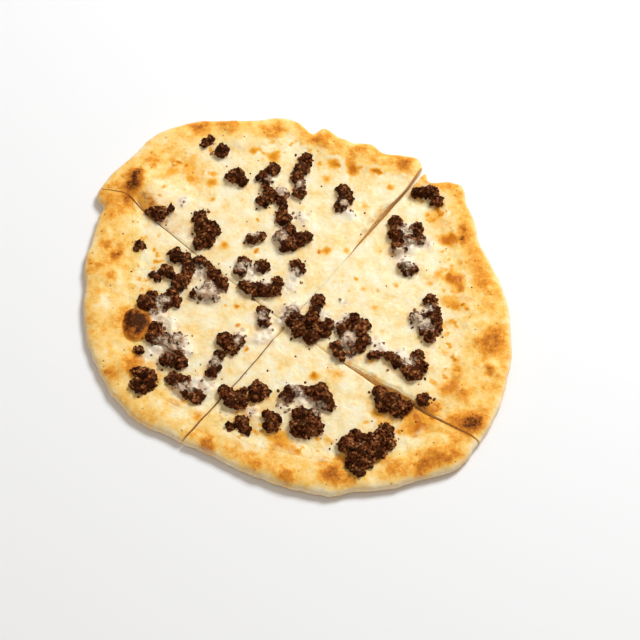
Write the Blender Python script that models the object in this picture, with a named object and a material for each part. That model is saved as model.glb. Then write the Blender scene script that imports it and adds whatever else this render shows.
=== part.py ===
"""Round cheese and sujuk manakish, cut into four slices that still lie together.

Metres, +Z up. Each slice is one leavened bread wedge with a swollen toasted rim and one
layer of melted cheese that runs through to the cuts. Every crumbled sujuk clump is its own
solid, resting on the cheese or on the crust.
"""
import math
import random

import bmesh
import bpy
import numpy as np
from mathutils import Vector, noise
from mathutils.bvhtree import BVHTree

MM = 0.001

# Main sizes in millimetres
BREAD_TOP = 5.6
RIM_MIDDLE = 3.2
RIM_CREST = 8.6
RIM_ROUND = 11.0
CHEESE_GAP = 0.3
CHEESE_THICKNESS = 1.3
CHEESE_EDGE_THICKNESS = 0.5
CUT_HALF_GAP = 0.5
SUJUK_GAP = 0.35
CLUMP_DETAIL = 0.29
CENTRE = (5.636, 21.929)

# Grid of each slice
COLUMNS = 28
CHEESE_ROWS = 8
CREST_ROWS = 3
ROUND_ROWS = 3

# Distance of the outer rim from the crossing of the cuts, as (degrees, mm)
RIM = [
    (-31.5, 153), (-21, 153), (-12, 152), (-5, 152), (4, 151), (14, 150), (22, 148),
    (31, 149), (36, 154), (41, 158), (46, 165), (49, 161), (52, 151), (55.2, 157),
    (58, 162), (62, 159), (67, 154), (70, 157), (75, 154), (79, 156), (83, 161),
    (86, 155), (89, 163), (93, 167), (101, 167), (107, 170), (112, 175), (117, 177),
    (124, 177), (130, 172), (138, 170), (143, 165), (146, 157), (150, 154), (156, 149),
    (164, 146), (170, 140), (176, 138), (183, 136), (190, 133), (200, 129), (212, 125),
    (221, 120), (228, 114), (236, 110), (247, 108), (254, 110), (262, 112), (270, 116),
    (278, 121), (286, 127), (294, 129), (302, 136), (311, 142), (319, 152), (328.5, 153),
]

# Distance of the cheese edge from the crossing, as (degrees, mm)
CHEESE_EDGE = [
    (-31.5, 118), (-18, 116), (-2, 118), (13, 120), (26, 128), (36, 136), (45, 144),
    (55, 146), (62, 142), (75, 138), (90, 146), (106, 150), (118, 151), (128, 148),
    (136, 138), (143, 132), (152, 112), (166, 99), (184, 92), (201, 95), (218, 93),
    (231, 86), (244, 84), (254, 90), (274, 91), (287, 98), (296, 114), (308, 117),
    (328.5, 118),
]

# Edges of the slices along the knife cuts, as (mm from the crossing, degrees); the right
# slice stands back from the front one, so its torn wall shows
CUT_FRONT_RIGHT = [(0, 325.0), (75, 325.8), (105, 327.0), (130, 328.0), (155, 328.8)]
CUT_RIGHT_FRONT = [(0, 325.0), (42, 325.5), (62, 326.4), (78, 327.3), (104, 328.0),
                   (118, 328.1), (132, 328.3), (155, 328.8)]
CUT_LEFT_FRONT = [(0, 236.2), (77, 235.6), (115, 234.7)]
CUT_BACK_LEFT = [(0, 142.6), (90, 142.0), (130, 141.5), (150, 141.0), (165, 143.6)]
CUT_RIGHT_SIDE = [(0, 55.3), (90, 55.2), (115, 54.9), (140, 54.9), (155, 54.4)]
CUT_BACK_SIDE = [(0, 55.3), (90, 55.3), (115, 55.6), (140, 55.6), (155, 56.0)]

SLICES = {
    "right": (CUT_RIGHT_FRONT, CUT_RIGHT_SIDE, -360.0),
    "back": (CUT_BACK_SIDE, CUT_BACK_LEFT, 0.0),
    "left": (CUT_BACK_LEFT, CUT_LEFT_FRONT, 0.0),
    "front": (CUT_LEFT_FRONT, CUT_FRONT_RIGHT, 0.0),
}

# Swellings of the rim, as (x, y, width, height) in mm from the crossing
BLISTERS = [
    (-104, -39, 14, 1.8), (140, -27, 12, 1.5), (135, -5, 17, 1.2),
    (127, -67, 16, 1.4), (114, -64, 12, 0.9), (119, -45, 12, 0.9), (107, -93, 16, 1.2),
    (75, -101, 14, 1.0), (35, -109, 14, 1.2), (4, -113, 16, 1.1), (-47, -96, 14, 1.0),
    (-25, -87, 12, 0.8), (-16, -110, 12, 0.9), (-122, 30, 16, 1.2), (-97, 57, 11, 0.8),
    (-110, 108, 19, 2.0), (-114, 96, 14, 1.4), (-102, 121, 11, 0.9), (133, 27, 24, 1.4),
    (117, 82, 13, 1.0), (111, 72, 12, 1.0), (-48, 157, 14, 0.9), (44, 140, 12, 0.9),
    (76, 132, 12, 1.0), (17, 146, 12, 1.0), (-17, 151, 11, 0.8),
]

# The one large burnt blister, as (x, y, width, depth, height)
BURNT_BLISTER = (-100.6, -7.0, 20.0, 25.0, 4.8)

# Sujuk clumps: every clump is a row of lobes, as (x, y, width) in mm from the crossing
SUJUK = [
    # On the back slice
    [(-53, 134, 9)],
    [(-41, 116, 9), (-44, 112, 8), (-38, 111, 9)],
    [(-16, 121, 9), (-22, 116, 8), (-21, 107, 6), (-17, 101, 9), (-22, 95, 8), (-9, 103, 8),
     (-9, 95, 6), (-7, 89, 7), (-7, 82, 10)],
    [(6, 130, 9), (4, 123, 10), (1, 116, 8), (3, 110, 7), (3, 103, 8)],
    [(-28, 64, 7), (-22, 67, 7)],
    [(-3, 72, 9), (-8, 67, 9), (-3, 62, 11), (3, 63, 8), (9, 67, 9)],
    [(-95, 82, 8), (-91, 80, 10), (-85, 84, 7), (-99, 81, 5)],
    [(-64, 80, 9), (-62, 71, 12), (-55, 69, 10), (-58, 62, 10), (-64, 58, 8)],
    [(34, 107, 9), (36, 100, 9), (32, 94, 8)],
    [(-32, 45, 9), (-34, 38, 8)],
    [(-19, 43, 9)],
    [(-31, 27, 7), (-26, 23, 9), (-20, 25, 10), (-14, 23, 7), (-10, 24, 8), (-8, 31, 7)],
    [(4, 46, 8), (7, 42, 7)],
    [(-65, 139, 4), (-61, 144, 5)],
    # On the left slice
    [(-79, 48, 8), (-72, 46, 7), (-69, 39, 8), (-70, 33, 8), (-74, 27, 11)],
    [(-85, 36, 7), (-81, 33, 6)],
    [(-93, 34, 3), (-90, 29, 4)],
    [(-61, 45, 8), (-55, 40, 9), (-51, 33, 9), (-46, 27, 9), (-54, 25, 8), (-52, 18, 9),
     (-59, 18, 7), (-64, 19, 6)],
    [(-96, 10, 11), (-91, 5, 8), (-92, 15, 7), (-84, 10, 10), (-79, 18, 7), (-76, 12, 7)],
    [(-88, -8, 7), (-88, -16, 11), (-82, -16, 7), (-77, -21, 8), (-72, -15, 7), (-71, -27, 7),
     (-71, -33, 11), (-79, -33, 9)],
    [(-98, -26, 6)],
    [(-92, -46, 13), (-97, -53, 10), (-98, -43, 8), (-89, -51, 9), (-93, -56, 8)],
    [(-72, -47, 10), (-64, -47, 6), (-68, -53, 7), (-63, -58, 7), (-57, -59, 9)],
    [(-41, -15, 9), (-36, -21, 9), (-32, -15, 7)],
    [(-44, -28, 7), (-46, -35, 7), (-48, -41, 7)],
    [(-17, 7, 8), (-16, 0, 8)],
    [(-104, 54, 7)],
    # On the front slice
    [(12, -69, 11), (21, -68, 9), (11, -77, 12), (21, -77, 12), (16, -81, 9)],
    [(2, -56, 8), (5, -51, 8), (12, -50, 7), (18, -51, 7), (25, -49, 9), (27, -56, 12),
     (32, -60, 7)],
    [(50, -82, 10), (43, -88, 11), (49, -94, 12), (50, -102, 10), (53, -108, 6), (57, -100, 10),
     (57, -92, 12), (61, -84, 10), (69, -78, 11), (71, -86, 9), (65, -92, 11)],
    [(-38, -55, 9), (-34, -62, 8), (-28, -62, 10), (-27, -54, 6)],
    [(-17, -49, 9), (-18, -56, 9), (-12, -53, 7)],
    [(-26, -76, 9), (-23, -81, 7)],
    [(-33, -80, 5)],
    [(-8, -70, 7), (-6, -78, 8), (-3, -73, 7)],
    [(65, -49, 9), (68, -57, 13), (77, -61, 10), (74, -53, 9), (82, -58, 8)],
    # On the right slice
    [(20, 18, 9), (18, 10, 7), (15, 2, 11), (24, -4, 11), (17, -10, 9), (8, -6, 9), (2, 2, 9),
     (3, 9, 8), (29, 1, 6)],
    [(44, 5, 9), (38, -1, 9), (47, -4, 10), (53, 2, 7), (53, -10, 8), (46, -15, 10), (41, -10, 9),
     (34, -16, 7), (36, -23, 8)],
    [(57, -21, 5), (61, -20, 5)],
    [(69, -21, 7), (75, -25, 7), (80, -30, 8), (86, -33, 10), (92, -28, 8), (89, -20, 8)],
    [(96, 24, 8), (99, 17, 7), (99, 9, 10), (100, 3, 8), (96, -5, 8), (91, 3, 7), (87, 10, 9)],
    [(93, -52, 8)],
    [(71, 84, 9), (72, 75, 12), (79, 71, 8), (73, 63, 9), (85, 79, 9), (88, 71, 7)],
    [(77, 49, 8), (82, 47, 8)],
    [(84, 109, 8), (91, 109, 9), (96, 110, 7), (99, 102, 8)],
]

COLOURS = {
    "crust": (0.84, 0.55, 0.21, 1.0),
    "cheese": (0.95, 0.80, 0.50, 1.0),
    "sujuk": (0.075, 0.026, 0.012, 1.0),
}
ROUGHNESS = {"crust": 0.8, "cheese": 0.45, "sujuk": 0.6}


def clear_scene():
    for item in list(bpy.data.objects):
        bpy.data.objects.remove(item, do_unlink=True)


def table_value(table, at):
    keys = [row[0] for row in table]
    values = [row[1] for row in table]
    return float(np.interp(at, keys, values))


def ring_value(table, degrees):
    """Value of a table that goes once around, from -31.5 to 328.5 degrees."""
    turned = (degrees + 31.5) % 360.0 - 31.5
    return table_value(table, turned)


def add_material(item, kind):
    material = bpy.data.materials.new(item.name)
    material.use_nodes = True
    shader = material.node_tree.nodes["Principled BSDF"]
    shader.inputs["Base Color"].default_value = COLOURS[kind]
    shader.inputs["Roughness"].default_value = ROUGHNESS[kind]
    shader.inputs["Metallic"].default_value = 0.0
    item.data.materials.append(material)


def make_object(name, mesh_data, kind):
    """Turn a bmesh in mm from the crossing into a finished object in metres."""
    bmesh.ops.recalc_face_normals(mesh_data, faces=mesh_data.faces[:])
    if mesh_data.calc_volume(signed=True) < 0:
        bmesh.ops.reverse_faces(mesh_data, faces=mesh_data.faces[:])
    mesh = bpy.data.meshes.new(name)
    mesh_data.to_mesh(mesh)
    for vertex in mesh.vertices:
        vertex.co.x = (vertex.co.x - CENTRE[0]) * MM
        vertex.co.y = (vertex.co.y - CENTRE[1]) * MM
        vertex.co.z = vertex.co.z * MM
    mesh.shade_smooth()
    mesh.set_sharp_from_angle(angle=math.radians(48))
    item = bpy.data.objects.new(name, mesh)
    bpy.context.scene.collection.objects.link(item)
    add_material(item, kind)
    return item


def relief(x, y):
    """Height of the blisters at a point of the crust."""
    burnt_x, burnt_y, width, depth, height = BURNT_BLISTER
    reach = math.hypot((x - burnt_x) / (0.5 * width), (y - burnt_y) / (0.5 * depth))
    total = height * math.exp(-reach ** 4)
    for bx, by, width, height in BLISTERS:
        distance = math.hypot(x - bx, y - by) / (0.5 * width)
        total += height * math.exp(-distance * distance)
    return total


def crust_wave(x, y):
    return 0.7 * noise.noise(Vector((x * 0.035, y * 0.035, 3.1)))


def slice_point(name, share, radius):
    """Point of a slice in mm: share runs from its first cut to its second one."""
    first, second, turn = SLICES[name]
    start = table_value(first, radius) + turn
    end = table_value(second, radius)
    angle = math.radians(start + (end - start) * share)
    middle = math.radians(0.5 * (table_value(first, 0) + turn + table_value(second, 0)))
    half = math.radians(0.5 * (table_value(second, 0) - table_value(first, 0) - turn))
    shift = CUT_HALF_GAP / math.sin(half)
    x = radius * math.cos(angle) + shift * math.cos(middle)
    y = radius * math.sin(angle) + shift * math.sin(middle)
    return x, y


def column_limits(name, share):
    """Cheese edge and rim distances of one column, and how far the rim rounds over."""
    first, second, turn = SLICES[name]
    start = table_value(first, 150) + turn
    end = table_value(second, 150)
    degrees = start + (end - start) * share
    edge = ring_value(CHEESE_EDGE, degrees)
    rim = ring_value(RIM, degrees)
    return edge, rim, min(RIM_ROUND, 0.6 * (rim - edge))


def cheese_radius(edge, row):
    return edge * row / CHEESE_ROWS


def crust_profile(edge, rim, rounding):
    """Rows beyond the cheese edge as (radius, top height, bottom height, relief share)."""
    rows = []
    crest = rim - rounding
    for row in range(1, CREST_ROWS + 1):
        share = row / CREST_ROWS
        rise = math.sin(0.5 * math.pi * share)
        top = BREAD_TOP + (RIM_CREST - BREAD_TOP) * rise
        rows.append((edge + (crest - edge) * share, top, 0.0, 1.0))
    for row in range(1, ROUND_ROWS + 1):
        turn = 0.5 * math.pi * row / ROUND_ROWS
        radius = crest + rounding * math.sin(turn)
        top = RIM_MIDDLE + (RIM_CREST - RIM_MIDDLE) * math.cos(turn)
        bottom = RIM_MIDDLE * (1.0 - math.cos(turn))
        rows.append((radius, top, bottom, math.cos(turn)))
    return rows


def build_bread(name):
    """One bread wedge: flat under the cheese, swollen rim, flat underside."""
    mesh = bmesh.new()
    tops = []
    bottoms = []
    tip_x, tip_y = slice_point(name, 0.5, 0.0)
    tip_top = mesh.verts.new((tip_x, tip_y, BREAD_TOP))
    tip_bottom = mesh.verts.new((tip_x, tip_y, 0.0))
    for column in range(COLUMNS + 1):
        share = column / COLUMNS
        edge, rim, rounding = column_limits(name, share)
        top = []
        bottom = []
        side = column in (0, COLUMNS)
        for row in range(1, CHEESE_ROWS + 1):
            x, y = slice_point(name, share, cheese_radius(edge, row))
            if side or row == CHEESE_ROWS:
                top.append(mesh.verts.new((x, y, BREAD_TOP)))
            else:
                top.append(None)
            bottom.append(mesh.verts.new((x, y, 0.0)) if side else None)
        profile = crust_profile(edge, rim, rounding)
        for number, (radius, high, low, amount) in enumerate(profile):
            x, y = slice_point(name, share, radius)
            z = high + amount * (relief(x, y) + crust_wave(x, y))
            vertex = mesh.verts.new((x, y, z))
            top.append(vertex)
            if number == len(profile) - 1:
                bottom.append(vertex)
            elif side or number >= CREST_ROWS - 1:
                bottom.append(mesh.verts.new((x, y, low)))
            else:
                bottom.append(None)
        tops.append(top)
        bottoms.append(bottom)
    last = len(tops[0]) - 1
    flat_end = CHEESE_ROWS - 1
    floor_end = CHEESE_ROWS + CREST_ROWS - 1
    left = tops[0][:flat_end]
    right = tops[COLUMNS][:flat_end]
    edge_row = [tops[column][flat_end] for column in range(COLUMNS + 1)]
    mesh.faces.new([tip_top] + left + edge_row + right[::-1])
    left = bottoms[0][:floor_end]
    right = bottoms[COLUMNS][:floor_end]
    floor_row = [bottoms[column][floor_end] for column in range(COLUMNS + 1)]
    mesh.faces.new([tip_bottom] + left + floor_row + right[::-1])
    for column in range(COLUMNS):
        here = tops[column]
        there = tops[column + 1]
        for row in range(flat_end, last):
            mesh.faces.new((here[row], there[row], there[row + 1], here[row + 1]))
        here = bottoms[column]
        there = bottoms[column + 1]
        for row in range(floor_end, last):
            mesh.faces.new((here[row], here[row + 1], there[row + 1], there[row]))
    for column in (0, COLUMNS):
        top = [tip_top] + tops[column]
        bottom = [tip_bottom] + bottoms[column]
        for row in range(len(top) - 2):
            mesh.faces.new((top[row], top[row + 1], bottom[row + 1], bottom[row]))
        mesh.faces.new((top[-2], top[-1], bottom[-2]))
    return mesh


def cheese_thickness(x, y, row):
    wave = 0.35 * noise.noise(Vector((x * 0.03, y * 0.03, 7.7)))
    if row == CHEESE_ROWS:
        return CHEESE_EDGE_THICKNESS
    return CHEESE_THICKNESS + wave


def build_cheese(name):
    """One cheese wedge: flat underside, gently wavy top, thin outer edge."""
    mesh = bmesh.new()
    low = BREAD_TOP + CHEESE_GAP
    tip_x, tip_y = slice_point(name, 0.5, 0.0)
    tip_top = mesh.verts.new((tip_x, tip_y, low + cheese_thickness(tip_x, tip_y, 0)))
    tip_bottom = mesh.verts.new((tip_x, tip_y, low))
    tops = []
    bottoms = []
    for column in range(COLUMNS + 1):
        share = column / COLUMNS
        edge = column_limits(name, share)[0]
        top = []
        bottom = []
        for row in range(1, CHEESE_ROWS + 1):
            x, y = slice_point(name, share, cheese_radius(edge, row))
            top.append(mesh.verts.new((x, y, low + cheese_thickness(x, y, row))))
            if column in (0, COLUMNS) or row == CHEESE_ROWS:
                bottom.append(mesh.verts.new((x, y, low)))
            else:
                bottom.append(None)
        tops.append(top)
        bottoms.append(bottom)
    for column in range(COLUMNS):
        here = tops[column]
        there = tops[column + 1]
        mesh.faces.new((tip_top, there[0], here[0]))
        for row in range(CHEESE_ROWS - 1):
            mesh.faces.new((here[row], there[row], there[row + 1], here[row + 1]))
        mesh.faces.new((here[-1], there[-1], bottoms[column + 1][-1], bottoms[column][-1]))
    edge_row = [bottoms[column][-1] for column in range(COLUMNS + 1)]
    mesh.faces.new([tip_bottom] + bottoms[0][:-1] + edge_row + bottoms[COLUMNS][:-1][::-1])
    for column in (0, COLUMNS):
        top = [tip_top] + tops[column]
        bottom = [tip_bottom] + bottoms[column]
        for row in range(CHEESE_ROWS):
            mesh.faces.new((top[row], top[row + 1], bottom[row + 1], bottom[row]))
    return mesh


def lump_places(lobes, chance):
    """Rounded lumps of a clump, as (x, y, radius, height) in mm."""
    lumps = []
    for x, y, width in lobes:
        height = (2.2 + 0.42 * width) * chance.uniform(0.85, 1.12)
        size = 0.56 * width
        if lumps:
            lumps += bridge(lumps, x, y, size, height)
        lumps.append((x, y, size, height))
    return lumps


def bridge(lumps, x, y, size, height):
    """A smaller lump that joins a new one to its nearest neighbour, where they part."""
    gaps = [math.hypot(x - lump[0], y - lump[1]) - size - lump[2] for lump in lumps]
    nearest = lumps[gaps.index(min(gaps))]
    reach = math.hypot(x - nearest[0], y - nearest[1])
    if reach < 0.72 * (size + nearest[2]):
        return []
    share = (nearest[2] + 0.5 * min(gaps)) / reach
    middle_x = nearest[0] + (x - nearest[0]) * share
    middle_y = nearest[1] + (y - nearest[1]) * share
    return [(middle_x, middle_y, 0.5 * abs(min(gaps)) + 2.4, 0.85 * min(height, nearest[3]))]


def lump_object(place, seed):
    """One squashed, uneven ball with its centre at the level of the cheese."""
    x, y, radius, height = place
    mesh = bmesh.new()
    bmesh.ops.create_icosphere(mesh, subdivisions=2, radius=1.0)
    for vertex in mesh.verts:
        spot = vertex.co * 1.3 + Vector((seed * 1.7, seed * 0.9, 0.4))
        uneven = 1.0 + 0.28 * noise.noise(spot)
        vertex.co.x = x + vertex.co.x * radius * uneven
        vertex.co.y = y + vertex.co.y * radius * uneven
        vertex.co.z = 7.6 + vertex.co.z * height * uneven
    data = bpy.data.meshes.new("lump")
    mesh.to_mesh(data)
    mesh.free()
    return bpy.data.objects.new("lump", data)


def fuse(items):
    """Fuse overlapping lumps into one closed body."""
    core = items[0]
    scene = bpy.context.scene.collection
    scene.objects.link(core)
    group = bpy.data.collections.new("fused")
    scene.children.link(group)
    for item in items[1:]:
        group.objects.link(item)
    if len(items) > 1:
        modifier = core.modifiers.new("union", "BOOLEAN")
        modifier.operation = "UNION"
        modifier.operand_type = "COLLECTION"
        modifier.collection = group
        modifier.solver = "EXACT"
        thinner = core.modifiers.new("thinner", "DECIMATE")
        thinner.ratio = CLUMP_DETAIL
    seen = core.evaluated_get(bpy.context.evaluated_depsgraph_get())
    mesh = bmesh.new()
    mesh.from_mesh(seen.to_mesh())
    seen.to_mesh_clear()
    for item in items:
        bpy.data.objects.remove(item, do_unlink=True)
    bpy.data.collections.remove(group)
    return mesh


def rest_plane(mesh, surfaces):
    """Plane just above the surfaces below a clump, as a point and a normal."""
    points = []
    for vertex in mesh.verts:
        start = Vector((vertex.co.x, vertex.co.y, 60.0))
        heights = []
        for surface in surfaces:
            hit = surface.ray_cast(start, Vector((0, 0, -1)))
            if hit[0] is not None:
                heights.append(hit[0].z)
        if heights:
            points.append((vertex.co.x, vertex.co.y, max(heights)))
    found = np.array(points)
    middle = found.mean(axis=0)
    sides = np.column_stack([found[:, :2] - middle[:2], np.ones(len(found))])
    slope_x, slope_y, level = np.linalg.lstsq(sides, found[:, 2], rcond=None)[0]
    above = (found[:, 2] - sides @ np.array([slope_x, slope_y, level])).max()
    normal = Vector((-slope_x, -slope_y, 1.0)).normalized()
    return Vector((middle[0], middle[1], level + above + SUJUK_GAP)), normal


def slice_of(x, y):
    """Name of the slice under a point."""
    radius = math.hypot(x, y)
    for name, (first, second, turn) in SLICES.items():
        start = table_value(first, radius) + turn
        degrees = (math.degrees(math.atan2(y, x)) - start) % 360.0 + start
        if degrees < table_value(second, radius):
            return name
    return "right"


def knife_planes(lobes):
    """Planes of the two cuts beside a clump that lies on one slice, as (point, outward)."""
    names = {slice_of(x, y) for x, y, width in lobes}
    if len(names) > 1:
        return []
    name = names.pop()
    radius = max(np.mean([math.hypot(x, y) for x, y, width in lobes]), 5.0)
    planes = []
    for share, sign in ((0.0, 1.0), (1.0, -1.0)):
        near = Vector((*slice_point(name, share, radius - 5.0), 0.0))
        far = Vector((*slice_point(name, share, radius + 5.0), 0.0))
        along = (far - near).normalized()
        planes.append((near, Vector((along.y * sign, -along.x * sign, 0.0))))
    return planes


def cut_off(mesh, point, outward):
    """Remove what lies beyond a plane and close the mesh there."""
    everything = mesh.verts[:] + mesh.edges[:] + mesh.faces[:]
    bmesh.ops.bisect_plane(mesh, geom=everything, dist=0.0001, plane_co=point,
                           plane_no=outward, clear_outer=True)
    rim = [edge for edge in mesh.edges if edge.is_boundary]
    bmesh.ops.holes_fill(mesh, edges=rim, sides=0)


def build_sujuk(number, lobes, surfaces):
    """One clump: fused lumps, cut where the knife went past, with a flat underside that
    follows what it lies on."""
    chance = random.Random(100 + number)
    items = []
    for index, place in enumerate(lump_places(lobes, chance)):
        items.append(lump_object(place, number * 3.1 + index))
    mesh = fuse(items)
    for point, outward in knife_planes(lobes):
        cut_off(mesh, point, outward)
    point, normal = rest_plane(mesh, surfaces)
    cut_off(mesh, point, -normal)
    bmesh.ops.dissolve_degenerate(mesh, edges=mesh.edges[:], dist=0.01)
    bmesh.ops.triangulate(mesh, faces=mesh.faces[:])
    return mesh


def main():
    clear_scene()
    surfaces = []
    for name in SLICES:
        bread = build_bread(name)
        surfaces.append(BVHTree.FromBMesh(bread))
        make_object("bread_" + name, bread, "crust")
        cheese = build_cheese(name)
        surfaces.append(BVHTree.FromBMesh(cheese))
        make_object("cheese_" + name, cheese, "cheese")
    for number, lobes in enumerate(SUJUK, start=1):
        clump = build_sujuk(number, lobes, surfaces)
        make_object(f"sujuk_{number:02d}", clump, "sujuk")


main()
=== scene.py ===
"""Looks of a round cheese and sujuk manakish cut into four slices.

Every surface is worked out with numpy from named sizes in millimetres, measured from the
point where the two knife cuts cross, and is then placed in the frame's metres.
"""

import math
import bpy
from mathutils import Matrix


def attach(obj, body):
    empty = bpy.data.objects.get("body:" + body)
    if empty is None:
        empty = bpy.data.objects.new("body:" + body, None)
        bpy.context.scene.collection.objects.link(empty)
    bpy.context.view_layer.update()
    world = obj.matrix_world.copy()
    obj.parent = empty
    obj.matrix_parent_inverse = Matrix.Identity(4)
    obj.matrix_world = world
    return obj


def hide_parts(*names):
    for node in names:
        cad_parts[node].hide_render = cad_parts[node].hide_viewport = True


bl_info = {
    "name": "Cheese and sujuk manakish",
    "version": (1, 0, 0),
    "blender": (4, 5, 0),
    "location": "3D View > Sidebar > Manakish",
    "description": "Builds the baked bread, melted cheese, sujuk and stage of a sliced manakish",
    "category": "Add Mesh",
}

import bmesh
import bpy
import numpy as np
from bpy.props import FloatProperty, FloatVectorProperty, IntProperty, PointerProperty
from mathutils import Matrix, Vector

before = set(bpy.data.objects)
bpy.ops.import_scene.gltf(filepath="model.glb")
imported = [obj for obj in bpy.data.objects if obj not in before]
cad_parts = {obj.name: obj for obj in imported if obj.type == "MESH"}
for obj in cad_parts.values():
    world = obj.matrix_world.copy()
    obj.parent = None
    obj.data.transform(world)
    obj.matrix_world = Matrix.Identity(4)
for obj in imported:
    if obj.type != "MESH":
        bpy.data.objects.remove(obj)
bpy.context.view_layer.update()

SLICE_NAMES = ("right", "back", "left", "front")
MM = 0.001

# The frame's origin as seen from the crossing of the cuts, in mm
CENTRE = np.array([5.636, 21.929])

# Heights in mm: the cheese's underside, the widest line of the rim, and the highest sujuk
CHEESE_FLOOR = 5.7
RIM_MIDDLE = 3.2
HIGHEST = 16.5

# Width of the rim's rounding in mm, and the exponent of its superellipse
RIM_ROUND = 11.0
RIM_FULLNESS = 2.5

# Where the cheese ends, as a share of the way from its edge to the crest, and its least
# thickness over the crust in mm
MELT_END = 0.46
CHEESE_SKIN = 0.12

# Angle in degrees where the tables that go once around start
RING_START = -31.5

# Distances from the crossing in mm: where a slice's columns take their angles, the least at
# which a shift along a cut counts as an angle, and over which the cuts open
COLUMN_RADIUS = 150.0
LEAST_RADIUS = 12.0
CUT_OPENS = (60.0, 135.0)

# How far inside the cheese edge the crust starts to rise, and how far a cut strays, in mm
RISE_INSIDE = 12.0
CUT_STRAY = 0.35

# Rows of the bread's grid: under the cheese, up to the crest, and over the rim
LEVEL_ROWS, CLIMB_ROWS, TURN_ROWS = 10, 56, 17
LEVEL_SHARE = 0.96

# Steps down a bread wall at a cut, and how the wall leans back to its torn top edge
WALL_STEPS = 7
WALL_LEAN = 2.2

# Rows of the cheese's grid: all over, and close together at its outer edge
CHEESE_ROWS, EDGE_ROWS = 215, 5

# Masks that the bread's material reads
BREAD_MASKS = ("toast", "cheese", "stain", "flour", "inside", "under")

# Size in mm of the voxels that fuse the granules of a clump, how far apart the surface
# points are that a crease lies between, and how often a partner is drawn for each
VOXEL = 0.345
CREASE_GAP = (2.5, 6.5)
CREASE_DRAWS = 8

# Counts of random draws: browned dots, places for veiled granules and for crumbs, and the
# most crumbs that are kept
DOT_DRAWS, VEILED_DRAWS, CRUMB_DRAWS, MOST_CRUMBS = 90, 30000, 9000, 95

# Camera: degrees above the table, degrees of roll, distance in metres, aim in mm, lens in mm
ELEVATION = 61.3
ROLL = 3.12
DISTANCE = 1.628
AIM = (22.05, 8.83)
LENS = 135.0

# Lights: places in metres, widths in metres, key colour, and the fill's share of the key
KEY_PLACE, KEY_WIDTH, KEY_TINT = (0.75, 1.05, 1.55), 0.8, (0.925, 0.957, 1.0)
FILL_PLACE, FILL_WIDTH, FILL_SHARE = (-1.3, -0.6, 1.6), 1.6, 0.08
SKY_TINT = (1.0, 0.94, 0.86, 1.0)

# Distance of the outer rim from the crossing of the cuts, as (degrees, mm)
RIM = [
    (-31.5, 153), (-21, 153), (-12, 152), (-5, 152), (4, 151), (14, 150), (22, 148),
    (31, 149), (36, 154), (41, 158), (46, 165), (49, 161), (52, 151), (55.2, 157),
    (58, 162), (62, 159), (67, 154), (70, 157), (75, 154), (79, 156), (83, 161),
    (86, 155), (89, 163), (93, 167), (101, 167), (107, 170), (112, 175), (117, 177),
    (124, 177), (130, 172), (138, 170), (143, 165), (146, 157), (150, 154), (156, 149),
    (164, 146), (170, 140), (176, 138), (183, 136), (190, 133), (200, 129), (212, 125),
    (221, 120), (228, 114), (236, 110), (247, 108), (254, 110), (262, 112), (270, 116),
    (278, 121), (286, 127), (294, 129), (302, 136), (311, 142), (319, 152), (328.5, 153),
]

# Distance of the cheese edge from the crossing, as (degrees, mm)
CHEESE_EDGE = [
    (-31.5, 118), (-18, 116), (-2, 118), (13, 120), (26, 128), (36, 136), (45, 144),
    (55, 146), (62, 142), (75, 138), (90, 146), (106, 150), (118, 151), (128, 148),
    (136, 138), (143, 132), (152, 112), (166, 99), (184, 92), (201, 95), (218, 93),
    (231, 86), (244, 84), (254, 90), (274, 91), (287, 98), (296, 114), (308, 117),
    (328.5, 118),
]

# Edges of the slices along the knife cuts, as (mm from the crossing, degrees)
CUT_FRONT_RIGHT = [(0, 325.0), (75, 325.8), (105, 327.0), (130, 328.0), (155, 328.8)]
CUT_RIGHT_FRONT = [(0, 325.0), (42, 325.5), (62, 326.4), (78, 327.3), (104, 328.0),
                   (118, 328.1), (132, 328.3), (155, 328.8)]
CUT_LEFT_FRONT = [(0, 236.2), (77, 235.6), (115, 234.7)]
CUT_BACK_LEFT = [(0, 142.6), (90, 142.0), (130, 141.5), (150, 141.0), (165, 143.6)]
CUT_RIGHT_SIDE = [(0, 55.3), (90, 55.2), (115, 54.9), (140, 54.9), (155, 54.4)]
CUT_BACK_SIDE = [(0, 55.3), (90, 55.3), (115, 55.6), (140, 55.6), (155, 56.0)]
CUTS = {
    "right": (CUT_RIGHT_FRONT, CUT_RIGHT_SIDE, -360.0),
    "back": (CUT_BACK_SIDE, CUT_BACK_LEFT, 0.0),
    "left": (CUT_BACK_LEFT, CUT_LEFT_FRONT, 0.0),
    "front": (CUT_LEFT_FRONT, CUT_FRONT_RIGHT, 0.0),
}

# How far the top of a slice has torn back at its two cuts, as (mm from the crossing, mm)
TORN = {
    "right": ([(0, 0.2), (46, 0.3), (60, 1.7), (78, 2.4), (98, 1.9), (114, 0.7), (155, 0.4)],
              [(0, 0.2), (155, 0.2)]),
    "back": ([(0, 0.2), (74, 0.3), (88, 2.0), (104, 3.2), (114, 2.4), (121, 0.7), (155, 0.3)],
             [(0, 0.2), (165, 0.3)]),
    "left": ([(0, 0.1), (165, 0.1)], [(0, 0.2), (52, 0.9), (115, 0.7)]),
    "front": ([(0, 0.1), (115, 0.1)], [(0, 0.1), (155, 0.1)]),
}

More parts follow.
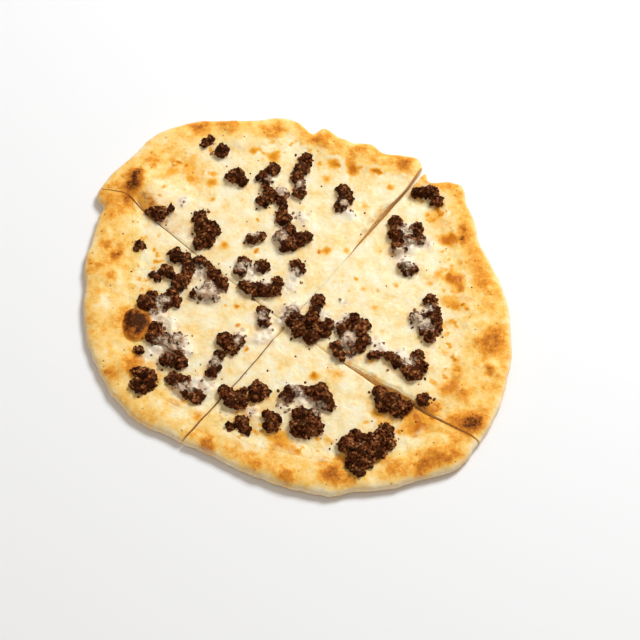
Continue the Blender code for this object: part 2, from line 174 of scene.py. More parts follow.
# Blisters of the crust, as (x, y, width, height) in mm from the crossing
BLISTERS = [
    (-104, -39, 14, 1.8), (140, -27, 12, 1.5), (135, -5, 17, 1.2),
    (127, -67, 16, 1.4), (114, -64, 12, 0.9), (119, -45, 12, 0.9), (107, -93, 16, 1.2),
    (75, -101, 14, 1.0), (35, -109, 14, 1.2), (4, -113, 16, 1.1), (-47, -96, 14, 1.0),
    (-25, -87, 12, 0.8), (-16, -110, 12, 0.9), (-122, 30, 16, 1.2), (-97, 57, 11, 0.8),
    (-110, 108, 19, 2.0), (-114, 96, 14, 1.4), (-102, 121, 11, 0.9), (133, 27, 24, 1.4),
    (117, 82, 13, 1.0), (111, 72, 12, 1.0), (-48, 157, 14, 0.9), (44, 140, 12, 0.9),
    (76, 132, 12, 1.0), (17, 146, 12, 1.0), (-17, 151, 11, 0.8),
]

# The one large burnt blister, as (x, y, width, depth, height)
BURNT_BLISTER = (-100.6, -7.0, 20.0, 25.0, 4.8)

# The puffed corner of the back slice that droops to its cut, as (x, y, spread, height)
PUFF = (-97, 100, 14, 3.4)

# How brown the crust is on each side of the loaf, as (degrees, share)
SIDE_TOAST = [
    (0, 0.43), (30, 0.42), (60, 0.42), (100, 0.43), (140, 0.39), (170, 0.30), (220, 0.33),
    (250, 0.36), (300, 0.35), (330, 0.40), (360, 0.43),
]

# Toasted patches, as (x, y, width in mm, strength)
TOAST = [
    (-102, -5.5, 22, 0.45), (-98, -37, 17, 0.4), (137, -28, 18, -0.24),
    (137, -28, 9, 0.40), (135, -6, 12, 0.22), (135, -5, 24, 0.08), (127, -67, 15, 0.36),
    (121, -64, 20, 0.15), (114, -64, 12, 0.2), (119, -45, 13, 0.35), (107, -93, 15, 0.3),
    (95, -102, 14, 0.3), (75, -101, 12, 0.2), (35, -109, 12, 0.3), (29, -99, 8, 0.3),
    (-4, -91, 9, 0.2), (-25, -87, 9, 0.2), (-16, -110, 11, 0.2), (4, -113, 14, 0.25),
    (29, -112, 11, 0.2), (-47, -96, 11, 0.4), (96, -74, 8, 0.25), (-55, -71, 9, 0.4),
    (-75, -62, 8, 0.25), (-115, -43, 9, 0.2), (-122, 30, 9, 0.3), (-127, 55, 8, 0.25),
    (-118, 47, 8, 0.3), (-97, 57, 8, 0.45), (133, 27, 26, 0.15), (133, 45, 18, 0.09),
    (-70, 154, 12, 0.22), (-49, 159, 14, 0.24), (-17, 154, 17, 0.28), (15, 147, 13, 0.24),
    (76, 132, 12, 0.2), (45, 142, 9, 0.25), (-112, 113, 9, 0.3), (-110, 108, 12, 0.5),
    (-113, 100, 10, 0.45), (-116, 91, 9, 0.3), (48, -107, 20, 0.12),
]

# Browned dots near the edge of the cheese, on cheese and crust alike, as (x, y, width in mm,
# strength)
EDGE_SPOTS = [
    (104, 72, 8, 0.7), (110, 73, 9, 0.9), (115, 74, 7, 0.8), (118, 72, 7, 0.9),
    (117, 82, 6, 0.7), (109, 43, 6, 0.9), (113, 40, 10, 0.6), (117, 35, 5, 1.0),
    (116, 43, 6, 0.6), (117, 56, 6, 0.6), (106, 25, 10, 0.4), (113, 21, 6, 0.5),
    (111, 9, 5, 0.5), (96, 92, 12, 0.35), (108, -43, 9, 0.6), (112, -39, 8, 0.6),
    (116, -36, 8, 0.8), (-101, 122, 11, 1.3), (-101, 122, 4, -0.4), (38, 132, 9, 0.8),
    (39, 125, 7, 1.0), (26, 130, 8, 0.7), (-31, 137, 6, 0.8), (-16, 133, 9, 0.8),
    (66, 113, 6, 0.9), (-58, 109, 7, 0.7),
]

# Browned dots in the cheese, as (x, y, width in mm, strength)
CHEESE_SPOTS = [
    (45, 38, 3, 0.6), (19, 58, 3, 0.8), (-35, 12, 4, 0.8), (-42, 12, 3, 0.5),
    (-25, 81, 4, 0.7), (-24, 56, 4, 0.9), (-46, 59, 6, 0.6), (-33, -3, 4, 0.8),
    (-26, -21, 4, 0.7), (-57, 95, 4, 0.5), (20, -38, 7, 0.9), (58, -22, 5, 0.9),
    (43, -26, 4, 0.5), (37, -36, 10, 0.4), (92, -74, 5, 0.5), (30, -33, 12, 0.3),
    (26, -46, 14, 0.25), (50, 95, 8, 0.3), (8, 75, 6, 0.3), (95, 38, 5, 0.4),
    (60, 30, 4, 0.4), (30, 35, 5, 0.3), (72, 36, 6, 0.3), (-72, 112, 44, 0.22),
    (-90, 125, 30, 0.15), (8, -84, 40, 0.16), (60, -70, 34, 0.12), (-93, 130, 9, 0.4),
    (24, 59, 6, 0.6), (38, 60, 7, 0.5),
]

# Where melted cheese has run over the sujuk, as (x, y, width) in mm
FILM = [
    (-61, 36, 8), (-56, 24, 7), (-52, 18, 9), (-59, 19, 6), (-85, 11, 8), (-86, 2, 7),
    (-92, -1, 5), (-79, -5, 9), (-80, -23, 14), (-89, -26, 8), (-69, -18, 8), (-34, 40, 6),
    (-26, 40, 7), (-27, 32, 7), (-15, 31, 7), (1, 30, 8), (3, 38, 7), (-17, 4, 7),
    (-12, -9, 9), (-19, -13, 7), (-31, -9, 7), (-33, -17, 5), (-1, 8, 9), (5, 13, 7),
    (-4, 1, 5), (-47, -33, 7), (-67, -54, 7), (-60, -53, 6), (-51, -51, 9), (-57, -46, 6),
    (-20, -67, 7), (25, 9, 7), (39, 7, 7), (34, 1, 5), (41, -12, 8), (44, -23, 5),
    (62, -11, 11), (67, -16, 5), (77, -19, 8), (82, -25, 7), (89, 9, 9), (95, 17, 6),
    (94, 3, 7), (7, -50, 7), (14, -57, 8), (24, -63, 8), (-9, 104, 8), (-17, 113, 5),
    (6, 85, 9), (-8, 66, 10), (-76, 92, 6), (3, 110, 5), (34, 95, 7), (39, 88, 6),
    (76, 56, 9), (79, 82, 5), (94, 69, 7), (-26, 68, 6), (-65, -25, 5), (-38, -72, 5),
    (1, -62, 8), (38, 19, 4), (80, 50, 9), (76, 75, 8), (81, 66, 7), (74, 58, 6), (43, -8, 6),
]

# Loose dark crumbs, as (x, y) in mm
SPECKS = [
    (-108, 34), (-118, 47), (-116, 63), (-41, 42), (-49, 44), (34, -87), (75, -78),
    (100, -51), (99, -53), (-109, 57), (-66, 133), (-47, 119), (-27, 129), (-32, 118),
    (-49, 123), (-32, 79), (4, 96), (12, 90), (18, 111), (49, 91), (47, 74), (93, 48),
    (66, 34), (102, 55), (106, 66), (-72, 116), (16, -18), (7, -24), (29, -31),
    (71, -93), (80, -75), (33, -91), (57, -107), (-23, 17), (-36, 26),
    (-63, -13), (-65, -19), (-59, -39), (-50, -43), (-56, -34), (-41, -44), (0, -79),
    (2, -44), (-25, -39), (-11, -36), (60, -69), (78, -81), (90, -40), (124, 36),
    (123, -65), (89, -68),
]


def linear(code):
    """Linear red, green, blue, alpha of a hex colour."""
    parts = [int(code[at:at + 2], 16) / 255.0 for at in (1, 3, 5)]
    return tuple(v / 12.92 if v < 0.04045 else ((v + 0.055) / 1.055) ** 2.4
                 for v in parts) + (1.0,)


class ManakishSettings(bpy.types.PropertyGroup):
    """Sizes and colours of the manakish."""

    bread_top: FloatProperty(
        name="Bread height", description="Height of the bread under the cheese",
        default=0.0056, min=0.002, max=0.012, precision=4, unit="LENGTH")
    rim_crest: FloatProperty(
        name="Rim height", description="Height of the crest of the rim",
        default=0.0086, min=0.004, max=0.02, precision=4, unit="LENGTH")
    cheese_level: FloatProperty(
        name="Cheese level", description="Height of the melted cheese",
        default=0.00725, min=0.006, max=0.012, precision=5, unit="LENGTH")
    cut_gap: FloatProperty(
        name="Half cut gap", description="Half the width of a knife cut",
        default=0.00034, min=0.0001, max=0.003, precision=5, unit="LENGTH")
    granule: FloatProperty(
        name="Sujuk granule", description="Mean radius of a sujuk granule",
        default=0.00105, min=0.0005, max=0.003, precision=5, unit="LENGTH")
    film_height: FloatProperty(
        name="Film height", description="How high cheese runs over the sujuk",
        default=0.0023, min=0.0, max=0.006, precision=4, unit="LENGTH")
    columns: IntProperty(
        name="Columns", description="Grid columns across a slice", default=320, min=40, max=600)
    seed: IntProperty(name="Seed", description="Seed of the uneven details", default=11)
    floor_colour: FloatVectorProperty(
        name="Floor", description="Colour of the studio floor", subtype="COLOR", size=4,
        default=(0.90, 0.90, 0.90, 1.0), min=0.0, max=1.0)
    key_power: FloatProperty(
        name="Key light", description="Power of the key light", default=37.3, min=0.0,
        unit="POWER")
    sky: FloatProperty(
        name="Surrounding light", description="Strength of the light all round",
        default=0.39, min=0.0)


def settings():
    """The sizes and colours set in the scene."""
    return bpy.context.scene.manakish


def length(key):
    """A length of the settings in mm."""
    return round(getattr(settings(), key) / MM, 4)


# Numbers that repeat on every run

def cell_share(ix, iy, seed):
    """A repeatable share from 0 to 1 for each cell: its whole numbers are multiplied by
    large primes, mixed by exclusive or, and the low bits kept."""
    mixed = (ix.astype(np.int64) * 73856093) ^ (iy.astype(np.int64) * 19349663)
    mixed = mixed ^ np.int64(seed * 40503 + 977)
    mixed = (mixed ^ (mixed >> 13)) * np.int64(1274126177)
    mixed = mixed ^ (mixed >> 16)
    return (mixed & 0xFFFF) / 65535.0


def waves(x, y, cell, seed):
    """Smooth noise from -1 to 1: cell corner values blended by the quintic ease."""
    gx = x / cell + 917.3
    gy = y / cell + 513.7
    ix = np.floor(gx)
    iy = np.floor(gy)
    fx = gx - ix
    fy = gy - iy
    ux = fx * fx * fx * (fx * (6.0 * fx - 15.0) + 10.0)
    uy = fy * fy * fy * (fy * (6.0 * fy - 15.0) + 10.0)
    low = cell_share(ix, iy, seed) * (1 - ux) + cell_share(ix + 1, iy, seed) * ux
    high = cell_share(ix, iy + 1, seed) * (1 - ux) + cell_share(ix + 1, iy + 1, seed) * ux
    return 2.0 * (low * (1 - uy) + high * uy) - 1.0


def rough_waves(x, y, cell, seed, layers=3):
    """Sum of smooth noises, each half as wide and half as strong, in turned axes."""
    total = np.zeros(np.broadcast(x, y).shape)
    strength = 1.0
    size = cell
    for layer in range(layers):
        turned_x = 0.8 * x + 0.6 * y
        turned_y = 0.8 * y - 0.6 * x
        total = total + strength * waves(turned_x, turned_y, size, seed + 31 * layer)
        x = turned_x
        y = turned_y
        size *= 0.5
        strength *= 0.5
    return total


def bent(x, y, reach, cell, seed, kind=waves):
    """The same places, each moved by smooth noise of that reach in mm."""
    return x + reach * kind(x, y, cell, seed), y + reach * kind(x, y, cell, seed + 1)


def ease(value, low, high):
    """Smooth step from 0 at low to 1 at high."""
    share = np.clip((value - low) / (high - low), 0.0, 1.0)
    return share * share * (3.0 - 2.0 * share)


def smooth_table(table, at):
    """Curve through the rows of a table: cubic Hermite pieces whose slope at a row is the
    mean of the slopes on its two sides."""
    keys = np.array([row[0] for row in table], float)
    values = np.array([row[1] for row in table], float)
    steps = np.diff(values) / np.diff(keys)
    slopes = np.concatenate([[steps[0]], 0.5 * (steps[1:] + steps[:-1]), [steps[-1]]])
    at = np.clip(at, keys[0], keys[-1])
    piece = np.clip(np.searchsorted(keys, at) - 1, 0, len(keys) - 2)
    width = keys[piece + 1] - keys[piece]
    t = (at - keys[piece]) / width
    return ((2 * t ** 3 - 3 * t ** 2 + 1) * values[piece]
            + (t ** 3 - 2 * t ** 2 + t) * width * slopes[piece]
            + (3 * t ** 2 - 2 * t ** 3) * values[piece + 1]
            + (t ** 3 - t ** 2) * width * slopes[piece + 1])


def ring(table, degrees):
    """Value of a table that goes once around."""
    return smooth_table(table, (degrees - RING_START) % 360.0 + RING_START)


# Heights of the baked surfaces

def torn_back(name, side, radius):
    """How far the top of a slice has torn back at its first or second cut, in mm: the
    listed amounts times an uneven share."""
    uneven = 1.0 + 0.30 * waves(radius, 0.0 * radius, 5.0, 230 + side)
    return smooth_table(TORN[name][side], radius) * uneven


def slice_points(name, share, radius, torn=False):
    """Plan position of a slice's point: the angle runs in proportion to share from the
    first cut to the second at that radius, and the slice is moved out along its middle so
    that both cuts keep the same gap. The top of the slice is torn back at its cuts."""
    first, second, turn = CUTS[name]
    start = smooth_table(first, radius) + turn + cut_wave(first, radius)
    end = smooth_table(second, radius) + cut_wave(second, radius)
    if torn:
        least = np.maximum(radius, LEAST_RADIUS)
        start = start + np.degrees(torn_back(name, 0, radius) / least)
        end = end - np.degrees(torn_back(name, 1, radius) / least)
    angle = np.radians(start + (end - start) * share)
    middle = math.radians(0.5 * (first[0][1] + turn + second[0][1]))
    half = math.radians(0.5 * (second[0][1] - first[0][1] - turn))
    opening = 0.28 + 0.72 * ease(radius, *CUT_OPENS)
    shift = length("cut_gap") * opening / math.sin(half)
    return (radius * np.cos(angle) + shift * math.cos(middle),
            radius * np.sin(angle) + shift * math.sin(middle))


def cut_wave(cut, radius):
    """How far a knife cut strays, in degrees: smooth noise along it, the same for both slices
    beside it."""
    number = round(cut[0][1] % 360.0)
    stray = CUT_STRAY * rough_waves(radius, 0.0 * radius, 17.0, 200 + number, 2)
    return (np.degrees(stray / np.maximum(radius, LEAST_RADIUS))
            * ease(radius, 0.0, LEAST_RADIUS))


def limits(degrees, uneven=0.0):
    """Cheese edge, crest and rim distance in each direction, the rim moved by uneven."""
    edge = ring(CHEESE_EDGE, degrees)
    rim = ring(RIM, degrees) + uneven
    return edge, rim - np.minimum(RIM_ROUND, 0.6 * (rim - edge)), rim


def column_limits(name, share):
    """Limits of each column of a slice, with a finely uneven rim."""
    first, second, turn = CUTS[name]
    start = float(smooth_table(first, np.array(COLUMN_RADIUS))) + turn
    end = float(smooth_table(second, np.array(COLUMN_RADIUS)))
    degrees = start + (end - start) * share
    return limits(degrees, 0.5 * rough_waves(degrees * 2.6, degrees * 0.0, 9.0, 5))


def limits_at(x, y):
    """Limits in the direction of each point, by its angle around the crossing."""
    return limits(np.degrees(np.arctan2(y, x)))


def patches(rows, x, y, power=2.0):
    """Sum of round patches: strength times e to the minus (distance over half width)."""
    total = np.zeros(np.broadcast(x, y).shape)
    for px, py, width, strength in rows:
        reach = np.hypot(x - px, y - py) / (0.5 * width)
        total += strength * np.exp(-reach ** power)
    return total


def blister_relief(x, y):
    """Blisters: a dome whose sides are steeper the higher it is, and whose outline is bent
    in and out by smooth noise."""
    bend_x, bend_y = bent(x, y, 1.3, 7.0, 3)
    total = np.zeros(np.broadcast(x, y).shape)
    for px, py, width, height in BLISTERS:
        reach = np.hypot(bend_x - px, bend_y - py) / (0.5 * width)
        total += height * np.exp(-reach ** (2.2 + 0.6 * height))
    reach = burnt_reach(x, y)
    dome = (1.0 - np.minimum(reach, 1.0) ** 2.6) ** 0.62
    return total + BURNT_BLISTER[4] * dome * (1.0 + 0.08 * rough_waves(x, y, 2.6, 24, 2))


def burnt_reach(x, y):
    """Distance from the middle of the burnt blister as a share of its half size."""
    px, py, width, depth = BURNT_BLISTER[:4]
    bend_x, bend_y = bent(x, y, 0.9, 7.0, 3)
    return np.hypot((bend_x - px) / (0.5 * width), (bend_y - py) / (0.5 * depth))


def puff_bell(x, y, width):
    """Bell of e to the minus (distance squared over width spread squared) around the puffed
    corner, and the distance in mm from the knife cut beside it."""
    px, py, spread = PUFF[:3]
    radius = np.hypot(x, y)
    degrees = np.degrees(np.arctan2(y, x)) % 360.0
    to_cut = radius * np.radians(smooth_table(CUT_BACK_LEFT, radius) - degrees)
    return np.exp(-((x - px) ** 2 + (y - py) ** 2) / (width * spread * spread)), to_cut


def puff_height(x, y):
    """The puffed corner: a bell that is cut down to nothing within 11 mm of the knife cut
    between the back and the left slice."""
    bell, to_cut = puff_bell(x, y, 2.0)
    return PUFF[3] * bell * ease(to_cut, 0.0, 11.0)


def crust_relief(x, y):
    """Ups and downs of the crust in mm: blisters and rough noise of three sizes."""
    relief = blister_relief(x, y) + 0.50 * rough_waves(x, y, 22.0, 21)
    return relief + 0.30 * rough_waves(x, y, 7.0, 22) + 0.10 * rough_waves(x, y, 1.7, 23, 2)


def rounded_fall(over):
    """Share of height left at a share of the way out from the crest to the rim, on the
    superellipse over^p + fall^p = 1."""
    return (1.0 - over ** RIM_FULLNESS) ** (1.0 / RIM_FULLNESS)


def crust_height(x, y, radius, edge, crest, rim):
    """Top of the bread: level under the cheese, a sine rise to the crest that starts inside
    the cheese edge, and a rounded fall to the middle of the rim, with the relief faded out
    around it."""
    level = length("bread_top")
    height = length("rim_crest")
    rise = np.clip((radius - edge + RISE_INSIDE) / (crest - edge + RISE_INSIDE), 0.0, 1.0)
    over = np.clip((radius - crest) / (rim - crest), 0.0, 1.0)
    fall = rounded_fall(over)
    inner = level + (height - level) * np.sin(0.5 * math.pi * rise)
    outer = RIM_MIDDLE + (height - RIM_MIDDLE) * fall
    relief = crust_relief(x, y) + puff_height(x, y)
    return np.where(radius < crest, inner, outer) + fall * relief


def cheese_share(x, y, radius, edge, crest):
    """How much cheese shows: 1 inside its edge and 0 outside and on the burnt blister, with
    a ragged border that is softer towards the front."""
    border = edge + 0.16 * (crest - edge) + 4.2 * rough_waves(x, y, 14.0, 41)
    border = border + 2.2 * waves(x, y, 3.6, 42) + 0.9 * waves(x, y, 1.5, 43)
    soft = 2.4 + 3.6 * ease(-y / np.maximum(radius, 1.0), -0.2, 0.7)
    bare = 1.0 - ease(burnt_reach(x, y), 0.98, 1.1)
    return (1.0 - ease(radius, border - soft, border + soft)) * (1.0 - bare)


class Fields:
    """Maps of the sujuk seen from above, sampled on even steps: its footprint blurred a
    little and blurred widely, and its height over the cheese blurred a little."""

    step = 0.5
    low = np.array([-160.0, -150.0])
    count = 680

    def __init__(self):
        heights = np.zeros((self.count, self.count))
        for name, node in sorted(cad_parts.items()):
            if name.startswith("sujuk"):
                spots = surface_points(node, 7)
                cells = ((spots[:, :2] - self.low) / self.step).astype(int)
                above = spots[:, 2] - length("cheese_level")
                np.maximum.at(heights, (cells[:, 0], cells[:, 1]), above)
        footprint = (heights > 0.0).astype(float)
        self.close = np.clip(self.blur(footprint, 1.0), 0.0, 1.0)
        self.wide = np.clip(self.blur(footprint, 2.6), 0.0, 1.0)
        self.hills = np.maximum(self.blur(heights, 0.9), 0.0)

    def blur(self, field, width):
        """Gaussian blur: the map's spectrum times the spectrum of a bell of that width."""
        rates = np.fft.fftfreq(self.count, self.step)
        bell = np.exp(-2.0 * (math.pi * width * rates) ** 2)
        spectrum = np.fft.fft2(field) * bell[:, None] * bell[None, :]
        return np.fft.ifft2(spectrum).real

    def read(self, field, x, y):
        """Value of a map at each point, blended from its four nearest samples."""
        gx = np.clip((x - self.low[0]) / self.step, 0, self.count - 2)
        gy = np.clip((y - self.low[1]) / self.step, 0, self.count - 2)
        ix = gx.astype(int)
        iy = gy.astype(int)
        fx = gx - ix
        fy = gy - iy
        return ((field[ix, iy] * (1 - fx) + field[ix + 1, iy] * fx) * (1 - fy)
                + (field[ix, iy + 1] * (1 - fx) + field[ix + 1, iy + 1] * fx) * fy)


def node_arrays(node):
    """Points in mm from the crossing and triangle corners of a CAD node."""
    mesh = node.data
    mesh.calc_loop_triangles()
    flat = np.empty(len(mesh.vertices) * 3)
    mesh.vertices.foreach_get("co", flat)
    corners = np.empty(len(mesh.loop_triangles) * 3, dtype=np.int32)
    mesh.loop_triangles.foreach_get("vertices", corners)
    points = flat.reshape(-1, 3) / MM
    points[:, :2] += CENTRE
    return points, corners.reshape(-1, 3)


def surface_points(node, steps):
    """Points on every triangle of a node, on an even grid of corner weights."""
    points, corners = node_arrays(node)
    i, j = np.meshgrid(np.arange(steps), np.arange(steps), indexing="ij")
    keep = i + j < steps
    a = (i[keep] + 1 / 3) / steps
    b = (j[keep] + 1 / 3) / steps
    weights = np.stack([a, b, 1 - a - b], axis=1)
    return np.einsum("wk,tkd->twd", weights, points[corners]).reshape(-1, 3)


fields = {}


def sujuk_fields():
    """The maps of the sujuk, made once."""
    if "maps" not in fields:
        fields["maps"] = Fields()
    return fields["maps"]


def film_at(x, y):
    """Share of cheese that has run over the sujuk: round patches with bent outlines."""
    rows = [(px, py, width * 1.3, 0.95) for px, py, width in FILM]
    return np.clip(patches(rows, *bent(x, y, 1.2, 5.0, 56), 2.2), 0.0, 1.0)


def film_lumps(x, y):
    """Granules that push up under the film: smooth noise of two sizes, about -1 to 1."""
    return 0.85 * waves(x, y, 3.6, 54) + 0.22 * waves(x, y, 1.7, 55)


def cheese_height(x, y):
    """Top of the cheese: a wavy level that climbs against the sujuk, and where it forms a
    film drapes over the smoothed hills of sujuk and over lumps of its own."""
    maps = sujuk_fields()
    level = length("cheese_level") + 0.3 * rough_waves(x, y, 22.0, 51)
    level = level + 0.16 * rough_waves(x, y, 5.5, 52) + 0.03 * rough_waves(x, y, 1.7, 53, 2)
    level = level + puff_height(x, y)
    edge, crest = limits_at(x, y)[:2]
    border = ease(np.hypot(x, y), edge - 8.0, edge + 0.3 * (crest - edge))
    level = level + border * crust_relief(x, y)
    climb = 1.5 * maps.read(maps.close, x, y)
    lumps = film_lumps(x, y)
    draped = 0.10 + 1.0 * maps.read(maps.hills, x, y) + 0.75 * lumps
    veil = np.maximum(draped, length("film_height") * (0.55 + 0.5 * lumps))
    return np.minimum(level + climb + veil * film_at(x, y), HIGHEST)


def stain_at(x, y):
    """Brown-grey fat and meat seen through thin cheese next to the sujuk, with painted
    contact shade in a ring around the clumps and painted shade on the drooping side of the
    puffed corner.
    """
    maps = sujuk_fields()
    near = maps.read(maps.wide, x, y)
    mottle = np.clip(0.5 + 0.5 * rough_waves(x, y, 2.6, 61), 0.0, 1.0)
    hollows = 1.0 - ease(film_lumps(x, y), -0.8, 0.0)
    # Partly a real fat stain, partly painted shade: the ring around the clumps stands in for
    # their contact shade
    soaked_and_shaded = near * (0.40 + 0.45 * mottle) + 1.1 * puff_shade_mask(x, y) * (0.3 + 0.7 * mottle)
    return np.clip(soaked_and_shaded + film_at(x, y) * 0.68 * hollows, 0.0, 1.0)


def baked_toast(x, y, radius, edge, crest, rim):
    """How brown each point is: the side of the loaf it is on, a rise towards the crest,
    the listed patches with ragged borders, and fine mottling."""
    degrees = np.degrees(np.arctan2(y, x)) % 360.0
    side = smooth_table(SIDE_TOAST, degrees)
    rise = np.clip((radius - edge) / (crest - edge), 0.0, 1.0)
    over = np.clip((radius - crest) / (rim - crest), 0.0, 1.0)
    bend_x, bend_y = bent(x, y, 1.6, 5.0, 71, rough_waves)
    low_front = ease(-y, 20.0, 90.0) * np.exp(-((over - 0.45) / 0.28) ** 2)
    base = side * (0.58 + 0.42 * rise) * (1.0 - 0.45 * over ** 4) + 0.05 * low_front
    base = base + over ** 2 * (0.02 * ease(y, 60.0, 120.0) - 0.12 * ease(x - y, -20.0, 80.0))
    mottle = 0.14 * rough_waves(x, y, 15.0, 73) + 0.08 * rough_waves(x, y, 4.0, 74)
    burnt = 1.0 - ease(burnt_reach(x, y), 0.90, 1.04)
    charred = 1.0 - ease(burnt_reach(x + 2.5, y + 1.5), 0.55, 1.05)
    charred = charred * (0.10 + 0.16 * rough_waves(x, y, 3.4, 75))
    spots = patches(TOAST, bend_x, bend_y, 2.4) + 0.27 * burnt + charred
    spots = spots + 0.30 * patches(EDGE_SPOTS, bend_x, bend_y)
    return np.clip(base + mottle + spots, 0.0, 1.1)


def cheese_toast_and_shade(x, y):
    """How browned the cheese is: listed and strewn dots, faint clouds that fade around a
    pale pool, and more near the rim, with painted shade added on the drooping side of the
    puffed corner."""
    bend_x, bend_y = bent(x, y, 0.4, 3.0, 81)
    bend_x = bend_x + 0.6 * rough_waves(x, y, 2.4, 85)
    bend_y = bend_y + 0.6 * rough_waves(x, y, 2.4, 86)
    radius = np.hypot(x, y)
    edge = limits_at(x, y)[0]
    near_rim = ease(radius, edge - 30.0, edge)
    front = ease(-y, 15.0, 60.0)
    pool = np.exp(-((x + 60.0) ** 2 + (y - 8.0) ** 2) / (2.0 * 26.0 ** 2))
    clouds = np.clip(0.35 + rough_waves(x, y, 16.0, 83), 0.0, 1.2) * (1.0 - 0.8 * pool)
    clouds = (0.20 + 0.25 * front) * clouds
    fine = (0.06 + 0.50 * near_rim) * ease(rough_waves(x, y, 4.2, 84), 0.35, 1.25)
    # Painted shade on the drooping side of the puffed corner, added to the browning
    shade = 0.30 * ease(puff_shade_mask(x, y), 0.15, 0.6)
    draw = np.random.default_rng(settings().seed + 3)
    spans = ((-105, 112), (-88, 148), (2.5, 7.0), (0.12, 0.42))
    strewn = np.column_stack([draw.uniform(*span, DOT_DRAWS) for span in spans])
    spots = 1.1 * patches(CHEESE_SPOTS, bend_x, bend_y)
    spots = spots + 0.85 * patches(EDGE_SPOTS, bend_x, bend_y, 2.6)
    spots = spots + patches(strewn, bend_x, bend_y)
    right = 0.20 * ease(x, 60.0, 100.0)
    return np.clip(spots + clouds + fine + (0.12 + right) * near_rim + shade, 0.0, 1.2)


def puff_shade_mask(x, y):
    """1 on the drooping side of the puffed corner, beside its cut, and 0 elsewhere: where
    painted shade goes.
    """
    bell, to_cut = puff_bell(x, y, 5.0)
    return bell * ease(to_cut, -0.5, 1.0) * (1.0 - ease(to_cut, 5.0, 17.0))


# Turning arrays into pieces

def grid_faces(index, flip=False):
    """Quads between neighbouring rows and columns of an index grid; corners that share a
    vertex are dropped, so a pole closes with triangles."""
    a = index[:-1, :-1].ravel()
    b = index[1:, :-1].ravel()
    c = index[1:, 1:].ravel()
    d = index[:-1, 1:].ravel()
    quads = np.stack([a, d, c, b] if flip else [a, b, c, d], axis=1)
    same = ((quads == np.roll(quads, 1, axis=1)).any(axis=1))
    faces = quads[~same].tolist()
    for quad in quads[same].tolist():
        corner = [v for at, v in enumerate(quad) if v != quad[at - 1]]
        if len(corner) >= 3:
            faces.append(corner)
    return faces


def add_piece(name, points, faces, masks, material, nodes, sharp=50):
    """Make an object from points in mm from the crossing, with a value per point for each
    mask, let it ride on the root body and stand for the named CAD nodes."""
    mesh = bpy.data.meshes.new(name)
    placed = np.array(points, float)
    placed[:, :2] -= CENTRE
    mesh.from_pydata((placed * MM).tolist(), [], faces)
    for mask, values in masks.items():
        layer = mesh.attributes.new(mask, "FLOAT", "POINT")
        layer.data.foreach_set("value", np.asarray(values, np.float32))
    mesh.materials.append(material)
    mesh.shade_smooth()
    mesh.set_sharp_from_angle(angle=math.radians(sharp))
    mesh.update()
    piece = bpy.data.objects.new(name, mesh)
    bpy.context.scene.collection.objects.link(piece)
    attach(piece, "root")
    if nodes:
        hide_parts(*nodes)
    return piece


def top_index(shape):
    """Index grid of a slice's top, whose first row is the one point at the tip."""
    index = np.arange(shape[0] * shape[1]).reshape(shape)
    index[0, :] = index[0, 0]
    return index


def under_index(need, start):
    """Index grid of an underside's points, numbered from start where one is needed, with the
    one point at the tip as its first row."""
    below = np.full(need.shape, -1)
    below[need] = start + np.arange(need.sum())
    below[0, :] = below[0, 0]
    return below


def floor_face(below, last):
    """The flat underside as one face: out along the first cut to the last row, across it,
    and back along the second cut."""
    outline = below[:last + 1, 0].tolist() + below[last, 1:-1].tolist()
    return (outline + below[last:0:-1, -1].tolist())[::-1]


def wall_index(top, bottom, start):
    """Index grid of a bread wall between two chains of vertices."""
    index = np.empty((len(top), WALL_STEPS + 1), int)
    index[:, 0] = top
    index[:, -1] = bottom
    inner = start + np.arange(len(top) * (WALL_STEPS - 1))
    index[:, 1:-1] = inner.reshape(len(top), WALL_STEPS - 1)
    closed = top == bottom
    index[closed] = top[closed][:, None]
    return index


def torn_wall(name, side, upper, lower, radius):
    """Points between the top and bottom lines of a bread wall. In plan they blend by 1 minus
    (1 minus the share of the way down) to the power of the lean, in height by the share
    itself, and a rough bulge across the wall fades to both lines as a sine."""
    down = np.arange(1, WALL_STEPS) / WALL_STEPS
    out = 1.0 - (1.0 - down) ** WALL_LEAN
    blend = np.stack([out, out, down], axis=1)
    wall = upper[:, None] * (1.0 - blend) + lower[:, None] * blend
    height = wall[..., 2]
    bulge = 0.16 * rough_waves(radius[:, None] + 0 * height, height * 2.5, 2.4, 95) - 0.10
    bulge = bulge * np.sin(math.pi * down) * (1.0 - 2.0 * side)
    away = math.radians(CUTS[name][side][0][1])
    wall[..., 0] += bulge * math.sin(away)
    wall[..., 1] -= bulge * math.cos(away)
    return wall.reshape(-1, 3)


def bread_masks(count, **given):
    """Every mask of the bread for a run of points: the given values, or else 0."""
    return [np.broadcast_to(np.ravel(given.get(mask, 0.0)), count) for mask in BREAD_MASKS]


